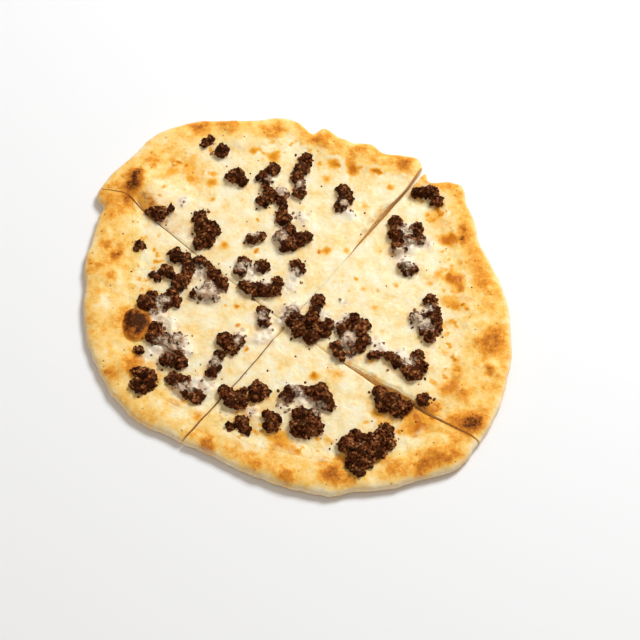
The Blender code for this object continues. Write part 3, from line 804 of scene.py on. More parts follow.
def build_bread_slice(name, material):
    """One slice of bread as a closed skin: the baked top down to the middle of the rim,
    the underside, and two torn walls of open crumb along the cuts."""
    share = np.linspace(0.0, 1.0, settings().columns + 1)
    edge, crest, rim = column_limits(name, share)
    level = np.linspace(0.0, LEVEL_SHARE, LEVEL_ROWS)[:, None] * edge
    climb = np.linspace(0.0, 1.0, CLIMB_ROWS)[1:, None]
    climb = edge * LEVEL_SHARE + (crest - edge * LEVEL_SHARE) * climb
    turn = 0.5 * math.pi * np.linspace(0.0, 1.0, TURN_ROWS)[1:, None]
    radius = np.concatenate([level, climb, crest + (rim - crest) * np.sin(turn)])
    first_turn = len(radius) - TURN_ROWS
    x, y = slice_points(name, share, radius, torn=True)
    over = np.clip((radius - crest) / (rim - crest), 0.0, 1.0)
    low = RIM_MIDDLE * (1.0 - rounded_fall(over)) * (1.0 + 0.12 * rough_waves(x, y, 9.0, 91))
    upper = np.stack([x, y, crust_height(x, y, radius, edge, crest, rim)], axis=2)
    lower = np.stack([*slice_points(name, share, radius), low], axis=2)
    need = np.zeros(radius.shape, bool)
    need[:, [0, -1]] = True
    need[first_turn:] = True
    need[-1] = False
    index = top_index(radius.shape)
    below = under_index(need, radius.size)
    below[-1] = index[-1]
    faces = grid_faces(index) + grid_faces(below[first_turn:], flip=True)
    faces.append(floor_face(below, first_turn))
    points = [upper.reshape(-1, 3), lower[need]]
    under = 1.0 - ease(over[need], 0.55, 1.0)
    # The stain mask holds a real stain together with painted shade around the sujuk and on the
    # puffed corner
    masks = [bread_masks(radius.size, toast=baked_toast(x, y, radius, edge, crest, rim),
                         cheese=cheese_share(x, y, radius, edge, crest),
                         stain=0.7 * stain_at(x, y), flour=ease(over, 0.72, 1.0)),
             bread_masks(len(under), toast=0.34, flour=1.0 - under, under=under)]
    total = radius.size + len(under)
    for side in (0, 1):
        faces += grid_faces(wall_index(index[:, -side], below[:, -side], total), side == 0)
        points.append(torn_wall(name, side, upper[:, -side], lower[:, -side],
                                radius[:, -side]))
        outer = np.repeat(ease(over[:, -side], 0.3, 1.0), WALL_STEPS - 1)
        masks.append(bread_masks(len(outer), toast=0.15, inside=1.0 - outer))
        total += len(outer)
    masks = dict(zip(BREAD_MASKS, np.concatenate(masks, axis=1)))
    return add_piece("baked_bread_" + name, np.concatenate(points), faces, masks, material,
                     ["bread_" + name])


def build_cheese_slice(name, material):
    """One slice of melted cheese: a wavy top that meets the crust along its outer edge,
    a flat underside on the bread, and rounded drooping edges along the cuts."""
    share = np.linspace(0.0, 1.0, settings().columns + 11)
    edge, crest, rim = column_limits(name, share)
    end = edge + MELT_END * (crest - edge)
    steps = np.concatenate([np.linspace(0.0, 0.98, CHEESE_ROWS),
                            np.linspace(0.985, 1.0, EDGE_ROWS)])[:, None]
    radius = steps * end
    x, y = slice_points(name, share, radius, torn=True)
    crust = crust_height(x, y, radius, edge, crest, rim)
    over = cheese_height(x, y) - crust - CHEESE_SKIN
    joined = crust + CHEESE_SKIN + 0.5 * (over + np.sqrt(over * over + 0.5))
    fade = ease(radius, end - 2.0 - 0.3 * (crest - edge), end)
    top = joined * (1.0 - fade) + (crust + CHEESE_SKIN) * fade
    top = top - 0.38 * ease(steps, 0.965, 1.0)
    across = np.minimum(share, 1.0 - share) * radius * 1.5
    torn = np.where(share < 0.5, torn_back(name, 0, radius), torn_back(name, 1, radius))
    top = top - (0.3 + 0.20 * torn) * (1.0 - ease(across, 0.0, 1.3 + 0.8 * torn))
    top = np.maximum(top, CHEESE_FLOOR + 0.1)
    browned = 0.25 + 0.75 * ease(torn, 0.4, 2.2)
    browned = browned * (1.0 - ease(across, 0.0, 2.0 + 0.8 * torn))
    need = np.zeros(radius.shape, bool)
    need[:, 0] = True
    need[1:, -1] = True
    need[-1, :] = True
    # This toast mask also holds painted shade on the puffed corner
    masks = {"toast": cheese_toast_and_shade(x, y) + 0.16 * browned,
             # Painted shade around the sujuk and on the puffed corner rides in this mask with
             # the real stain
             "stain": np.clip(stain_at(x, y) + 0.30 * browned, 0.0, 1.0),
             "cheese": cheese_share(x, y, radius, edge, crest),
             "crust_toast": baked_toast(x, y, radius, edge, crest, rim),
             "film": film_at(x, y)}
    masks = {mask: np.append(values, values[need]) for mask, values in masks.items()}
    index = top_index(radius.shape)
    below = under_index(need, radius.size)
    flat = np.minimum(CHEESE_FLOOR, crust - 0.25)
    points = np.concatenate([np.stack([x, y, top], axis=2).reshape(-1, 3),
                             np.stack([x, y, flat], axis=2)[need]])
    faces = grid_faces(index)
    for side in (0, 1):
        faces += grid_faces(np.stack([index[:, -side], below[:, -side]], axis=1), side == 0)
    faces += grid_faces(np.stack([index[-1], below[-1]]))
    faces.append(floor_face(below, len(radius) - 1))
    return add_piece("melted_cheese_" + name, points, faces, masks, material,
                     ["cheese_" + name], sharp=75)


def ball_points(detail):
    """Unit ball from Blender's icosphere, as points and triangles."""
    ball = bmesh.new()
    bmesh.ops.create_icosphere(ball, subdivisions=detail, radius=1.0)
    points = np.array([vertex.co[:] for vertex in ball.verts])
    corners = np.array([[vertex.index for vertex in face.verts] for face in ball.faces])
    ball.free()
    return points, corners


def scattered_balls(centres, sizes, draw, detail, stretch=0.25):
    """Uneven balls: each unit ball is stretched by random shares, turned by a random
    rotation, scaled to its size and moved to its centre, all as whole arrays."""
    unit, corners = ball_points(detail)
    count = len(centres)
    scale = 1.0 + stretch * draw.uniform(-1.0, 1.0, (count, 1, 3))
    spin = draw.normal(size=(count, 4))
    spin /= np.linalg.norm(spin, axis=1)[:, None]
    w, i, j, k = spin.T
    turn = np.stack([
        1 - 2 * (j * j + k * k), 2 * (i * j - k * w), 2 * (i * k + j * w),
        2 * (i * j + k * w), 1 - 2 * (i * i + k * k), 2 * (j * k - i * w),
        2 * (i * k - j * w), 2 * (j * k + i * w), 1 - 2 * (i * i + j * j)],
        axis=1).reshape(count, 3, 3)
    bumps = 1.0 + 0.24 * draw.uniform(-1.0, 1.0, (count, len(unit), 1))
    shaped = np.einsum("nvk,nlk->nvl", unit[None] * scale * bumps, turn)
    points = shaped * sizes[:, None, None] + centres[:, None, :]
    faces = corners[None] + (np.arange(count) * len(unit))[:, None, None]
    return points.reshape(-1, 3), faces.reshape(-1, 3)


def face_normals(points, corners):
    """Unit normal and area of each triangle; a flat underside counts as no area."""
    a, b, c = points[corners[:, 0]], points[corners[:, 1]], points[corners[:, 2]]
    cross = np.cross(b - a, c - a)
    area = 0.5 * np.linalg.norm(cross, axis=1)
    normal = cross / np.maximum(2.0 * area, 1e-9)[:, None]
    return normal, np.where(normal[:, 2] < -0.9, 0.0, area)


def corner_normals(points, corners):
    """Unit normal of each point, summed over its triangles by area, and the total area."""
    normal, area = face_normals(points, corners)
    total = np.zeros_like(points)
    for corner in range(3):
        np.add.at(total, corners[:, corner], normal * area[:, None])
    reach = np.maximum(np.linalg.norm(total, axis=1), 1e-9)
    return total / reach[:, None], area.sum()


def seeded_surface(points, corners, count, draw):
    """Random points on triangles in proportion to their areas, with the normals."""
    normal, area = face_normals(points, corners)
    picked = draw.choice(len(corners), size=count, p=area / area.sum())
    u = np.sqrt(draw.uniform(size=count))[:, None]
    v = draw.uniform(size=count)[:, None]
    a, b, c = (points[corners[picked, corner]] for corner in range(3))
    return a * (1 - u) + b * u * (1 - v) + c * u * v, normal[picked]


def crease_spots(spots, draw):
    """Points that fill the creases between lumps: the middle of random pairs of surface
    points that lie as far apart as a crease is wide, sunk a little."""
    count = len(spots)
    first = np.tile(np.arange(count), CREASE_DRAWS)
    second = draw.integers(0, count, count * CREASE_DRAWS)
    gap = np.linalg.norm(spots[first] - spots[second], axis=1)
    close = (gap > CREASE_GAP[0]) & (gap < CREASE_GAP[1])
    middle = 0.5 * (spots[first] + spots[second])[close][:count]
    return middle - np.array([0.0, 0.0, 0.5])


def voxel_skin(points, faces):
    """One closed skin around overlapping bodies, by Blender's voxel remesh."""
    mesh = bpy.data.meshes.new("granules")
    mesh.from_pydata((points * MM).tolist(), [], faces.tolist())
    item = bpy.data.objects.new("granules", mesh)
    bpy.context.scene.collection.objects.link(item)
    change = item.modifiers.new("skin", "REMESH")
    change.mode = "VOXEL"
    change.voxel_size = VOXEL * MM
    seen = item.evaluated_get(bpy.context.evaluated_depsgraph_get())
    skin = seen.to_mesh()
    flat = np.empty(len(skin.vertices) * 3)
    skin.vertices.foreach_get("co", flat)
    loops = np.empty(len(skin.loops), dtype=np.int32)
    skin.loops.foreach_get("vertex_index", loops)
    quads = loops.reshape(-1, 4)
    seen.to_mesh_clear()
    bpy.data.objects.remove(item, do_unlink=True)
    bpy.data.meshes.remove(mesh)
    return flat.reshape(-1, 3) / MM, quads


def nearest(points, centres):
    """Index of and distance to the nearest centre, for blocks of points at a time."""
    found = []
    reach = []
    for start in range(0, len(points), 4000):
        block = points[start:start + 4000]
        square = ((block[:, None, :] - centres[None]) ** 2).sum(axis=2)
        found.append(square.argmin(axis=1))
        reach.append(np.sqrt(square.min(axis=1)))
    return np.concatenate(found), np.concatenate(reach)


def add_sujuk(name, points, faces, masks, material, nodes=()):
    """Make a sujuk piece from the values of its three masks."""
    masks = dict(zip(("tone", "crevice_shade", "film"), masks))
    return add_piece(name, points, faces.tolist(), masks, material, nodes, sharp=180)


def build_clump(name, material, draw):
    """One clump of crumbled sujuk: granules spread over its CAD solid by area and fused
    with a slightly shrunken core, so that the clump keeps its form."""
    granule = length("granule")
    points, corners = node_arrays(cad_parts[name])
    points, merged = np.unique(np.round(points, 4), axis=0, return_inverse=True)
    corners = merged.reshape(-1)[corners]
    corners = corners[(corners != np.roll(corners, 1, axis=1)).all(axis=1)]
    outward, area = corner_normals(points, corners)
    count = max(int(area / (1.75 * granule ** 2)), 12)
    spots, normal = seeded_surface(points, corners, count, draw)
    depth = draw.uniform(0.15, 0.75, count) * granule
    centres = np.concatenate([spots - normal * depth[:, None], crease_spots(spots, draw)])
    count = len(centres)
    radii = granule * (0.45 + 1.4 * draw.uniform(size=count) ** 2.6)
    centres[:, 2] = np.maximum(centres[:, 2], points[:, 2].min() + 0.3 * radii)
    centres[:, 2] = np.minimum(centres[:, 2], HIGHEST - 0.9 * radii)
    balls, faces = scattered_balls(centres, radii, draw, 1, stretch=0.7)
    skin, quads = voxel_skin(np.concatenate([balls, points - 0.7 * outward]),
                             np.concatenate([faces, corners + len(balls)]))
    owner, reach = nearest(skin, centres)
    tone = draw.uniform(size=count)[owner]
    # Painted crevice shade: points that lie farther out than their granule's radius, between
    # granules, are darkened
    crevice_shade = ease(reach / radii[owner], 0.92, 1.25)
    x, y, z = skin.T
    above = z - cheese_height(x, y)
    patchy = 0.5 + 0.5 * rough_waves(x + 0.7 * z, y, 3.2, 101)
    film = film_at(x, y) * (0.32 + 0.78 * patchy)
    film = film + (1.0 - ease(above, -0.3, 0.8 + 2.2 * patchy)) * film_near(x, y) * 0.65
    masks = (tone, crevice_shade, np.clip(film, 0.0, 1.0))
    return add_sujuk("crumbled_" + name, skin, quads, masks, material, [name])


def film_near(x, y):
    """1 where the sujuk lies on cheese, and 0 out on the bare crust."""
    edge = limits_at(x, y)[0]
    return 1.0 - ease(np.hypot(x, y), edge - 6.0, edge + 2.0)


def surface_height(x, y):
    """Height of whatever shows at a point: the cheese inside its edge, else the crust."""
    radius = np.hypot(x, y)
    edge, crest, rim = limits_at(x, y)
    crust = crust_height(x, y, radius, edge, crest, rim)
    inside = radius < edge + 0.1 * (crest - edge)
    return np.where(inside, np.maximum(crust, cheese_height(x, y)), crust)


def toned_granules(centres, sizes, draw):
    """Uneven granules as points and faces, with a random tone for each granule's points."""
    points, faces = scattered_balls(centres, sizes, draw, 2, stretch=0.35)
    tone = np.repeat(draw.uniform(size=len(centres)), len(points) // len(centres))
    return points, faces, tone


def build_veiled_granules(material):
    """Granules half sunk in the film of cheese, evenly strewn over its patches."""
    draw = np.random.default_rng(settings().seed + 9)
    maps = sujuk_fields()
    x = draw.uniform(-105, 115, VEILED_DRAWS)
    y = draw.uniform(-80, 125, VEILED_DRAWS)
    keep = (film_at(x, y) > 0.25) & (draw.uniform(size=VEILED_DRAWS) < 0.04)
    keep = keep & (maps.read(maps.close, x, y) < 0.7)
    x = x[keep]
    y = y[keep]
    sizes = draw.uniform(0.8, 1.7, len(x))
    centres = np.column_stack([x, y, cheese_height(x, y) - 0.66 * sizes])
    points, faces, tone = toned_granules(centres, sizes, draw)
    veil = np.repeat(draw.uniform(0.4, 1.0, len(x)), len(points) // len(x))
    # A little painted crevice shade all over these granules
    masks = (tone, np.full(len(points), 0.2), veil)
    return add_sujuk("veiled_sujuk_granules", points, faces, masks, material)


def build_crumbs(material):
    """Loose crumbs: the listed ones, and small ones strewn just outside the clumps."""
    draw = np.random.default_rng(settings().seed + 7)
    maps = sujuk_fields()
    x = draw.uniform(-140, 135, CRUMB_DRAWS)
    y = draw.uniform(-105, 150, CRUMB_DRAWS)
    near = maps.read(maps.wide, x, y)
    keep = (draw.uniform(size=CRUMB_DRAWS) < 1.2 * near) & (near > 0.05)
    keep = keep & (maps.read(maps.close, x, y) < 0.25)
    places = np.concatenate([SPECKS, np.stack([x, y], axis=1)[keep][:MOST_CRUMBS]])
    sizes = np.concatenate([draw.uniform(0.4, 0.75, len(SPECKS)),
                            draw.uniform(0.4, 1.15, len(places) - len(SPECKS))])
    height = surface_height(places[:, 0], places[:, 1]) + 0.15 * sizes
    points, faces, tone = toned_granules(np.column_stack([places, height]), sizes, draw)
    film = 0.15 + 0.45 * film_at(points[:, 0], points[:, 1])
    # A little painted crevice shade all over these crumbs
    masks = (tone, np.full(len(points), 0.1), film)
    return add_sujuk("loose_sujuk_crumbs", points, faces, masks, material)


# Finishes

def node_with(tree, kind, inputs=(), **options):
    """Add a shader node, set its options, and fill or link its inputs by name or number."""
    item = tree.nodes.new(kind)
    for key, value in options.items():
        setattr(item, key, value)
    for key, value in dict(inputs).items():
        socket = item.inputs[key]
        if isinstance(value, bpy.types.NodeSocket):
            tree.links.new(value, socket)
        else:
            socket.default_value = value
    return item


def maths(tree, operation, a, b, clamp=False):
    return node_with(tree, "ShaderNodeMath", {0: a, 1: b}, operation=operation,
                     use_clamp=clamp).outputs[0]


def plus(tree, a, b, clamp=False):
    return maths(tree, "ADD", a, b, clamp)


def minus(tree, a, b):
    return maths(tree, "SUBTRACT", a, b)


def times(tree, a, b):
    return maths(tree, "MULTIPLY", a, b)


def weighed(tree, *parts):
    """Sum of (value, share) pairs, each value times its share."""
    total = times(tree, *parts[0])
    for part in parts[1:]:
        total = plus(tree, total, times(tree, *part))
    return total


def swing(tree, value, reach):
    """A value from 0 to 1 made to swing around 0, times its reach."""
    return times(tree, minus(tree, value, 0.5), reach)


def mixed(tree, factor, a, b):
    """Colour b over colour a by the factor."""
    return node_with(tree, "ShaderNodeMix", {0: factor, 6: a, 7: b}, data_type="RGBA").outputs[2]


def tinted(tree, colour, value, share, code):
    """A colour with a hex colour over it, by a value times its share."""
    return mixed(tree, times(tree, value, share), colour, linear(code))


def ramp(tree, factor, stops):
    """Colour ramp from (place, hex colour) rows."""
    item = node_with(tree, "ShaderNodeValToRGB", {0: factor})
    marks = item.color_ramp.elements
    while len(marks) < len(stops):
        marks.new(0.5)
    for mark, (place, code) in zip(marks, stops):
        mark.position = place
        mark.color = linear(code)
    return item.outputs[0]


def band(tree, value, low, high):
    """Smooth step of a shader value, from 0 at low to 1 at high."""
    return node_with(tree, "ShaderNodeMapRange", {0: value, 1: low, 2: high, 3: 0.0, 4: 1.0},
                     interpolation_type="SMOOTHSTEP").outputs[0]


def noise(tree, scale, detail=3.0, rough=0.55, offset=0.0):
    """Noise on Object coordinates, scale in waves per metre."""
    place = node_with(tree, "ShaderNodeTexCoord").outputs["Object"]
    moved = node_with(tree, "ShaderNodeMapping",
                      {"Vector": place, "Location": (offset, 0.7 * offset, 0.3 * offset)})
    return node_with(tree, "ShaderNodeTexNoise",
                     {"Vector": moved.outputs[0], "Scale": scale, "Detail": detail,
                      "Roughness": rough}).outputs["Fac"]


def dots(tree, scale, low, high):
    """Small round dots in a few of the cells: 1 at the middle of such a cell, 0 outside."""
    place = node_with(tree, "ShaderNodeTexCoord").outputs["Object"]
    cells = node_with(tree, "ShaderNodeTexVoronoi",
                      {"Vector": place, "Scale": scale, "Randomness": 1.0}).outputs
    dot = minus(tree, 1.0, band(tree, cells["Distance"], low, high))
    return times(tree, dot, band(tree, cells["Color"], 0.62, 0.70))


def mask(tree, name):
    """One of the piece's own masks, as a shader value."""
    return node_with(tree, "ShaderNodeAttribute", attribute_name=name).outputs["Fac"]


def open_group(name, *inputs):
    """New node group with these value inputs, a colour and a height as outputs, and its
    input sockets."""
    group = bpy.data.node_groups.new(name, "ShaderNodeTree")
    for key in inputs:
        group.interface.new_socket(key, in_out="INPUT", socket_type="NodeSocketFloat")
    group.interface.new_socket("Color", in_out="OUTPUT", socket_type="NodeSocketColor")
    group.interface.new_socket("Height", in_out="OUTPUT", socket_type="NodeSocketFloat")
    return group, group.nodes.new("NodeGroupInput").outputs


def close_group(group, colour, height):
    """Link a group's colour and height to its outputs."""
    end = group.nodes.new("NodeGroupOutput")
    group.links.new(colour, end.inputs["Color"])
    group.links.new(height, end.inputs["Height"])
    return group


def baked_dough_group():
    """Colour and grain of baked dough from how brown it is: floury cream, gold, orange
    brown and dark brown, broken up by noise at three sizes, with painted shade in tiny pin
    holes."""
    group, start = open_group("Baked dough", "Toast")
    coarse = noise(group, 210.0, 4.0, 0.6)
    middle = noise(group, 480.0, 3.0, 0.6, 3.1)
    fine = noise(group, 1000.0, 2.0, 0.65, 5.7)
    grain = weighed(group, (middle, 0.45), (fine, 0.55))
    spread = plus(group, times(group, start["Toast"], 0.9), 0.30)
    brown = plus(group, start["Toast"], swing(group, coarse, 0.40))
    brown = plus(group, brown, swing(group, grain, spread), clamp=True)
    colour = ramp(group, brown, [(0.0, "#FFEFC6"), (0.14, "#FEDF9C"), (0.34, "#FAC768"),
                                 (0.52, "#EC9C34"), (0.68, "#C87420"), (0.84, "#93511C"),
                                 (1.0, "#421C07")])
    dust = times(group, band(group, fine, 0.56, 0.66), band(group, brown, 0.45, 0.80))
    dust = times(group, dust, minus(group, 1.0, band(group, brown, 0.80, 0.92)))
    colour = tinted(group, colour, dust, 0.40, "#F4BC6C")
    # Painted shade in tiny pin holes, which the bump also presses in
    holes = dots(group, 230.0, 0.10, 0.19)
    colour = tinted(group, colour, holes, 0.62, "#7A4A22")
    return close_group(group, colour, minus(group, grain, times(group, holes, 0.8)))


def melted_cheese_group():
    """Colour and grain of melted cheese: white and cream clouds, gold where browned, a pale
    veil over meat, and grey brown where meat shows through, which also carries painted
    shade around the sujuk and on the puffed corner."""
    group, start = open_group("Melted cheese", "Toast", "Stain", "Film")
    cloud = noise(group, 95.0, 5.0, 0.62, 1.3)
    curd = noise(group, 420.0, 3.0, 0.6, 2.2)
    fine = noise(group, 1500.0, 2.0, 0.6, 4.4)
    pale = ramp(group, weighed(group, (cloud, 0.75), (curd, 0.25)),
                [(0.34, "#FFF3D8"), (0.50, "#FFE6B6"), (0.66, "#FBCE7F")])
    brown = plus(group, start["Toast"], swing(group, curd, 0.35), clamp=True)
    gold = ramp(group, brown, [(0.0, "#FFECC4"), (0.25, "#FDD688"), (0.6, "#F2A830"),
                               (1.0, "#C8700E")])
    colour = mixed(group, band(group, brown, 0.10, 0.55), pale, gold)
    colour = tinted(group, colour, start["Film"], 0.72, "#F8EEDF")
    # Grey brown of meat under thin cheese, partly painted shade around the sujuk and on the
    # puffed corner
    colour = tinted(group, colour, start["Stain"], 0.66, "#B07A4C")
    # Dark brown specks in the same places, so also partly painted shade
    speck = times(group, start["Stain"], band(group, curd, 0.50, 0.66))
    colour = tinted(group, colour, speck, 0.55, "#6E3F1E")
    return close_group(group, colour, weighed(group, (curd, 0.7), (fine, 0.3)))


def new_finish(name, roughness, specular, tint="#FFFFFF"):
    """New material with these constants, its node tree and its shader's inputs."""
    material = bpy.data.materials.new(name)
    material.use_nodes = True
    tree = material.node_tree
    shader = tree.nodes["Principled BSDF"].inputs
    shader["Roughness"].default_value = roughness
    shader["Specular IOR Level"].default_value = specular
    shader["Specular Tint"].default_value = linear(tint)
    shader["Metallic"].default_value = 0.0
    return material, tree, shader


def place_group(tree, group, **inputs):
    """Place a node group with linked inputs and give its outputs."""
    item = tree.nodes.new("ShaderNodeGroup")
    item.node_tree = group
    for key, value in inputs.items():
        tree.links.new(value, item.inputs[key])
    return item.outputs


def link_surface(tree, shader, colour, height, strength, distance):
    """Colour and bump of a finish; the bump's distance is in metres."""
    bump = node_with(tree, "ShaderNodeBump",
                     {"Height": height, "Strength": strength, "Distance": distance})
    tree.links.new(colour, shader["Base Color"])
    tree.links.new(bump.outputs[0], shader["Normal"])


def bread_finish(dough, cheese):
    """Baked crust with cheese smeared past its edge, pale open crumb at the cuts with painted
    shade in its pores, and a floury underside with scorched spots."""
    material, tree, shader = new_finish("Baked bread", 0.74, 0.14, "#E8B98A")
    scorched = weighed(tree, (noise(tree, 38.0, 4.0, 0.6, 11.0), 1.1),
                       (band(tree, noise(tree, 120.0, 3.0, 0.6, 4.1), 0.54, 0.68), 0.26))
    scorched = times(tree, minus(tree, scorched, 0.52), mask(tree, "under"))
    crust = place_group(tree, dough, Toast=plus(tree, mask(tree, "toast"), scorched))
    melted = place_group(tree, cheese, Toast=mask(tree, "toast"), Stain=mask(tree, "stain"))
    patchy = band(tree, noise(tree, 260.0, 4.0, 0.6, 2.6), 0.36, 0.58)
    patchy = plus(tree, times(tree, patchy, 0.55), 0.2)
    floury = tinted(tree, crust["Color"], mask(tree, "flour"), patchy, "#F0D5B2")
    colour = mixed(tree, mask(tree, "cheese"), floury, melted["Color"])
    pores = dots(tree, 520.0, 0.18, 0.42)
    crumb = ramp(tree, noise(tree, 900.0, 3.0, 0.6, 7.7), [(0.35, "#D39C4E"), (0.6, "#EDC887")])
    # Painted shade in the crumb's pores, which the bump also presses in as pits
    crumb = tinted(tree, crumb, pores, 0.5, "#94683A")
    colour = mixed(tree, mask(tree, "inside"), colour, crumb)
    pits = times(tree, times(tree, pores, mask(tree, "inside")), 1.5)
    link_surface(tree, shader, colour, minus(tree, crust["Height"], pits), 0.55, 0.0006)
    return material


def cheese_finish(dough, cheese):
    """Melted cheese that gives way to the crust's own colour along its outer edge."""
    material, tree, shader = new_finish("Melted cheese", 0.42, 0.28, "#EFC99C")
    melted = place_group(tree, cheese, Toast=mask(tree, "toast"), Stain=mask(tree, "stain"),
                         Film=mask(tree, "film"))
    crust = place_group(tree, dough, Toast=mask(tree, "crust_toast"))
    colour = mixed(tree, mask(tree, "cheese"), crust["Color"], melted["Color"])
    link_surface(tree, shader, colour, melted["Height"], 0.20, 0.0006)
    gloss = ramp(tree, noise(tree, 300.0, 3.0, 0.6, 8.1), [(0.3, "#777777"), (0.7, "#B4B4B4")])
    gloss = mixed(tree, mask(tree, "cheese"), (0.74, 0.74, 0.74, 1.0), gloss)
    tree.links.new(gloss, shader["Roughness"])
    shader["Subsurface Weight"].default_value = 0.3
    shader["Subsurface Scale"].default_value = 0.004
    shader["Subsurface Radius"].default_value = (1.0, 0.55, 0.2)
    return material


def sujuk_finish():
    """Dark cooked mince: each granule has its own brown, painted shade makes the crevices
    between granules near black, and a thin film of cheese greys the covered parts."""
    material, tree, shader = new_finish("Crumbled sujuk", 0.68, 0.10, "#E8B98A")
    fine = noise(tree, 1400.0, 3.0, 0.65, 6.2)
    wide = band(tree, noise(tree, 210.0, 2.0, 0.5, 3.3), 0.38, 0.62)
    tone = weighed(tree, (mask(tree, "tone"), 0.40), (fine, 0.32), (wide, 0.28))
    meat = ramp(tree, tone, [(0.14, "#341306"), (0.36, "#602E14"), (0.58, "#8A4B25"),
                             (0.82, "#BA7D4C")])
    # Painted shade darkens the crevices between granules to near black
    meat = tinted(tree, meat, mask(tree, "crevice_shade"), 0.84, "#190702")
    grain = noise(tree, 520.0, 3.0, 0.6, 9.4)
    cover = band(tree, plus(tree, mask(tree, "film"), swing(tree, grain, 0.7)), 0.22, 0.95)
    skin = ramp(tree, grain, [(0.34, "#7E5A3A"), (0.50, "#BBA287"), (0.68, "#EBDCC8")])
    colour = mixed(tree, times(tree, cover, 0.88), meat, skin)
    link_surface(tree, shader, colour, fine, 0.6, 0.0005)
    return material


def floor_finish():
    """Matt studio floor with a barely visible unevenness."""
    material, tree, shader = new_finish("Studio floor", 0.9, 0.1)
    tint = mixed(tree, times(tree, noise(tree, 6.0, 2.0), 0.02),
                 tuple(settings().floor_colour), (0.85, 0.85, 0.85, 1.0))
    tree.links.new(tint, shader["Base Color"])
    return material


finishes = {}


def finish(name):
    """A finish by name; all of them are made the first time."""
    if not finishes:
        dough = baked_dough_group()
        cheese = melted_cheese_group()
        finishes["bread"] = bread_finish(dough, cheese)
        finishes["cheese"] = cheese_finish(dough, cheese)
        finishes["sujuk"] = sujuk_finish()
        finishes["floor"] = floor_finish()
    return finishes[name]


# Operators

class MANAKISH_OT_bread(bpy.types.Operator):
    """Bake the four bread slices"""

    bl_idname = "manakish.bread"
    bl_label = "Bread slices"

    def execute(self, context):
        for name in SLICE_NAMES:
            build_bread_slice(name, finish("bread"))
        return {"FINISHED"}


class MANAKISH_OT_cheese(bpy.types.Operator):
    """Melt the cheese over the slices"""

    bl_idname = "manakish.cheese"
    bl_label = "Melted cheese"

    def execute(self, context):
        for name in SLICE_NAMES:
            build_cheese_slice(name, finish("cheese"))
        return {"FINISHED"}


class MANAKISH_OT_sujuk(bpy.types.Operator):
    """Crumble the sujuk clumps"""

    bl_idname = "manakish.sujuk"
    bl_label = "Sujuk clumps"

    def execute(self, context):
        names = sorted(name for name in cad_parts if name.startswith("sujuk"))
        if not names:
            raise RuntimeError("the frame has no sujuk nodes")
        for number, name in enumerate(names):
            draw = np.random.default_rng(settings().seed + 100 + number)
            build_clump(name, finish("sujuk"), draw)
        return {"FINISHED"}


class MANAKISH_OT_crumbs(bpy.types.Operator):
    """Strew the sujuk granules under the film of cheese and the loose crumbs"""

    bl_idname = "manakish.crumbs"
    bl_label = "Loose crumbs"

    def execute(self, context):
        build_veiled_granules(finish("sujuk"))
        build_crumbs(finish("sujuk"))
        return {"FINISHED"}


class MANAKISH_OT_stage(bpy.types.Operator):
    """Set up the floor, light and camera"""

    bl_idname = "manakish.stage"
    bl_label = "Stage"

    def execute(self, context):
        build_floor()
        build_lights()
        build_camera()
        context.scene.view_settings.view_transform = "Standard"
        return {"FINISHED"}


def build_floor():
    """Flat grid of 4 m on which the bread lies."""
    line = np.linspace(-2.0, 2.0, 9)
    x, y = np.meshgrid(line, line, indexing="ij")
    points = np.stack([x, y, np.full_like(x, -0.0004)], axis=2).reshape(-1, 3)
    mesh = bpy.data.meshes.new("studio_floor")
    mesh.from_pydata(points.tolist(), [], grid_faces(np.arange(81).reshape(9, 9)))
    mesh.materials.append(finish("floor"))
    floor = bpy.data.objects.new("studio_floor", mesh)
    bpy.context.scene.collection.objects.link(floor)


def add_area_light(name, place, power, width, tint=(1.0, 1.0, 1.0)):
    """Round soft light that looks at the frame's origin."""
    light = bpy.data.lights.new(name, "AREA")
    light.shape = "DISK"
    light.size = width
    light.energy = power
    light.color = tint
    item = bpy.data.objects.new(name, light)
    item.location = place
    item.rotation_euler = Vector(place).to_track_quat("Z", "Y").to_euler()
    bpy.context.scene.collection.objects.link(item)


def build_lights():
    """Key light from the back right, weak fill from the front left, and light all round."""
    size = settings()
    add_area_light("key_light", KEY_PLACE, size.key_power, KEY_WIDTH, KEY_TINT)
    add_area_light("fill_light", FILL_PLACE, size.key_power * FILL_SHARE, FILL_WIDTH)
    world = bpy.data.worlds.new("studio")
    world.use_nodes = True
    background = world.node_tree.nodes["Background"]
    background.inputs["Color"].default_value = SKY_TINT
    background.inputs["Strength"].default_value = size.sky
    bpy.context.scene.world = world


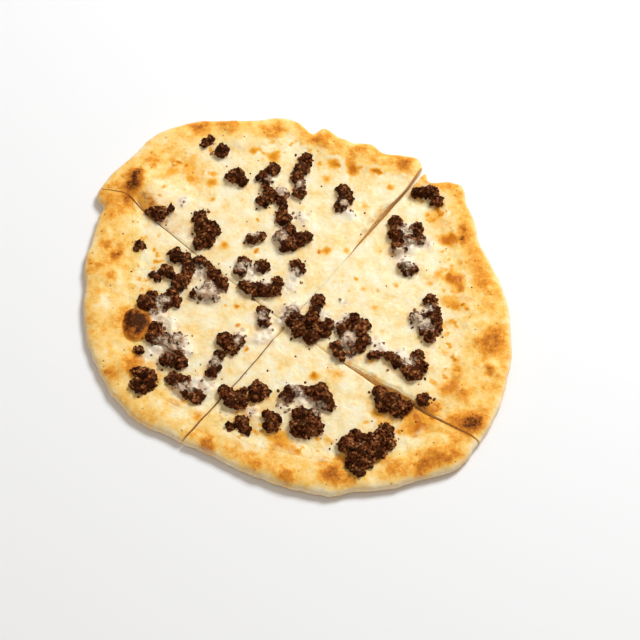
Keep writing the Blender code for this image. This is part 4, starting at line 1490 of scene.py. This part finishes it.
def build_camera():
    """Long lens above the table's near side, rolled a little about its own axis and aimed
    to the right of the crossing of the cuts."""
    elevation = math.radians(ELEVATION)
    roll = math.radians(ROLL)
    back = Vector((0.0, -math.cos(elevation), math.sin(elevation)))
    level = Vector((1.0, 0.0, 0.0))
    upright = back.cross(level)
    right = math.cos(roll) * level + math.sin(roll) * upright
    up = math.cos(roll) * upright - math.sin(roll) * level
    aim = Vector(((AIM[0] - CENTRE[0]) * MM, (AIM[1] - CENTRE[1]) * MM, 0.0))
    lens = bpy.data.cameras.new("camera")
    lens.lens = LENS
    lens.sensor_width = 36.0
    lens.clip_start = 0.05
    lens.clip_end = 20.0
    camera = bpy.data.objects.new("camera", lens)
    turn = Matrix((right, up, back)).transposed().to_4x4()
    camera.matrix_world = Matrix.Translation(aim + DISTANCE * back) @ turn
    bpy.context.scene.collection.objects.link(camera)
    bpy.context.scene.camera = camera


class MANAKISH_PT_panel(bpy.types.Panel):
    """Sidebar panel of the manakish"""

    bl_idname = "MANAKISH_PT_panel"
    bl_label = "Manakish"
    bl_space_type = "VIEW_3D"
    bl_region_type = "UI"
    bl_category = "Manakish"

    def draw(self, context):
        layout = self.layout
        for key in ManakishSettings.__annotations__:
            layout.prop(context.scene.manakish, key)
        for step in STEPS:
            layout.operator(step.bl_idname)


STEPS = (MANAKISH_OT_bread, MANAKISH_OT_cheese, MANAKISH_OT_sujuk, MANAKISH_OT_crumbs,
         MANAKISH_OT_stage)
CLASSES = (ManakishSettings,) + STEPS + (MANAKISH_PT_panel,)


def register():
    for item in CLASSES:
        bpy.utils.register_class(item)
    bpy.types.Scene.manakish = PointerProperty(type=ManakishSettings)


def unregister():
    del bpy.types.Scene.manakish
    for item in reversed(CLASSES):
        bpy.utils.unregister_class(item)


def main():
    register()
    bpy.ops.manakish.bread()
    bpy.ops.manakish.cheese()
    bpy.ops.manakish.sujuk()
    bpy.ops.manakish.crumbs()
    bpy.ops.manakish.stage()


if __name__ == "__main__":
    main()
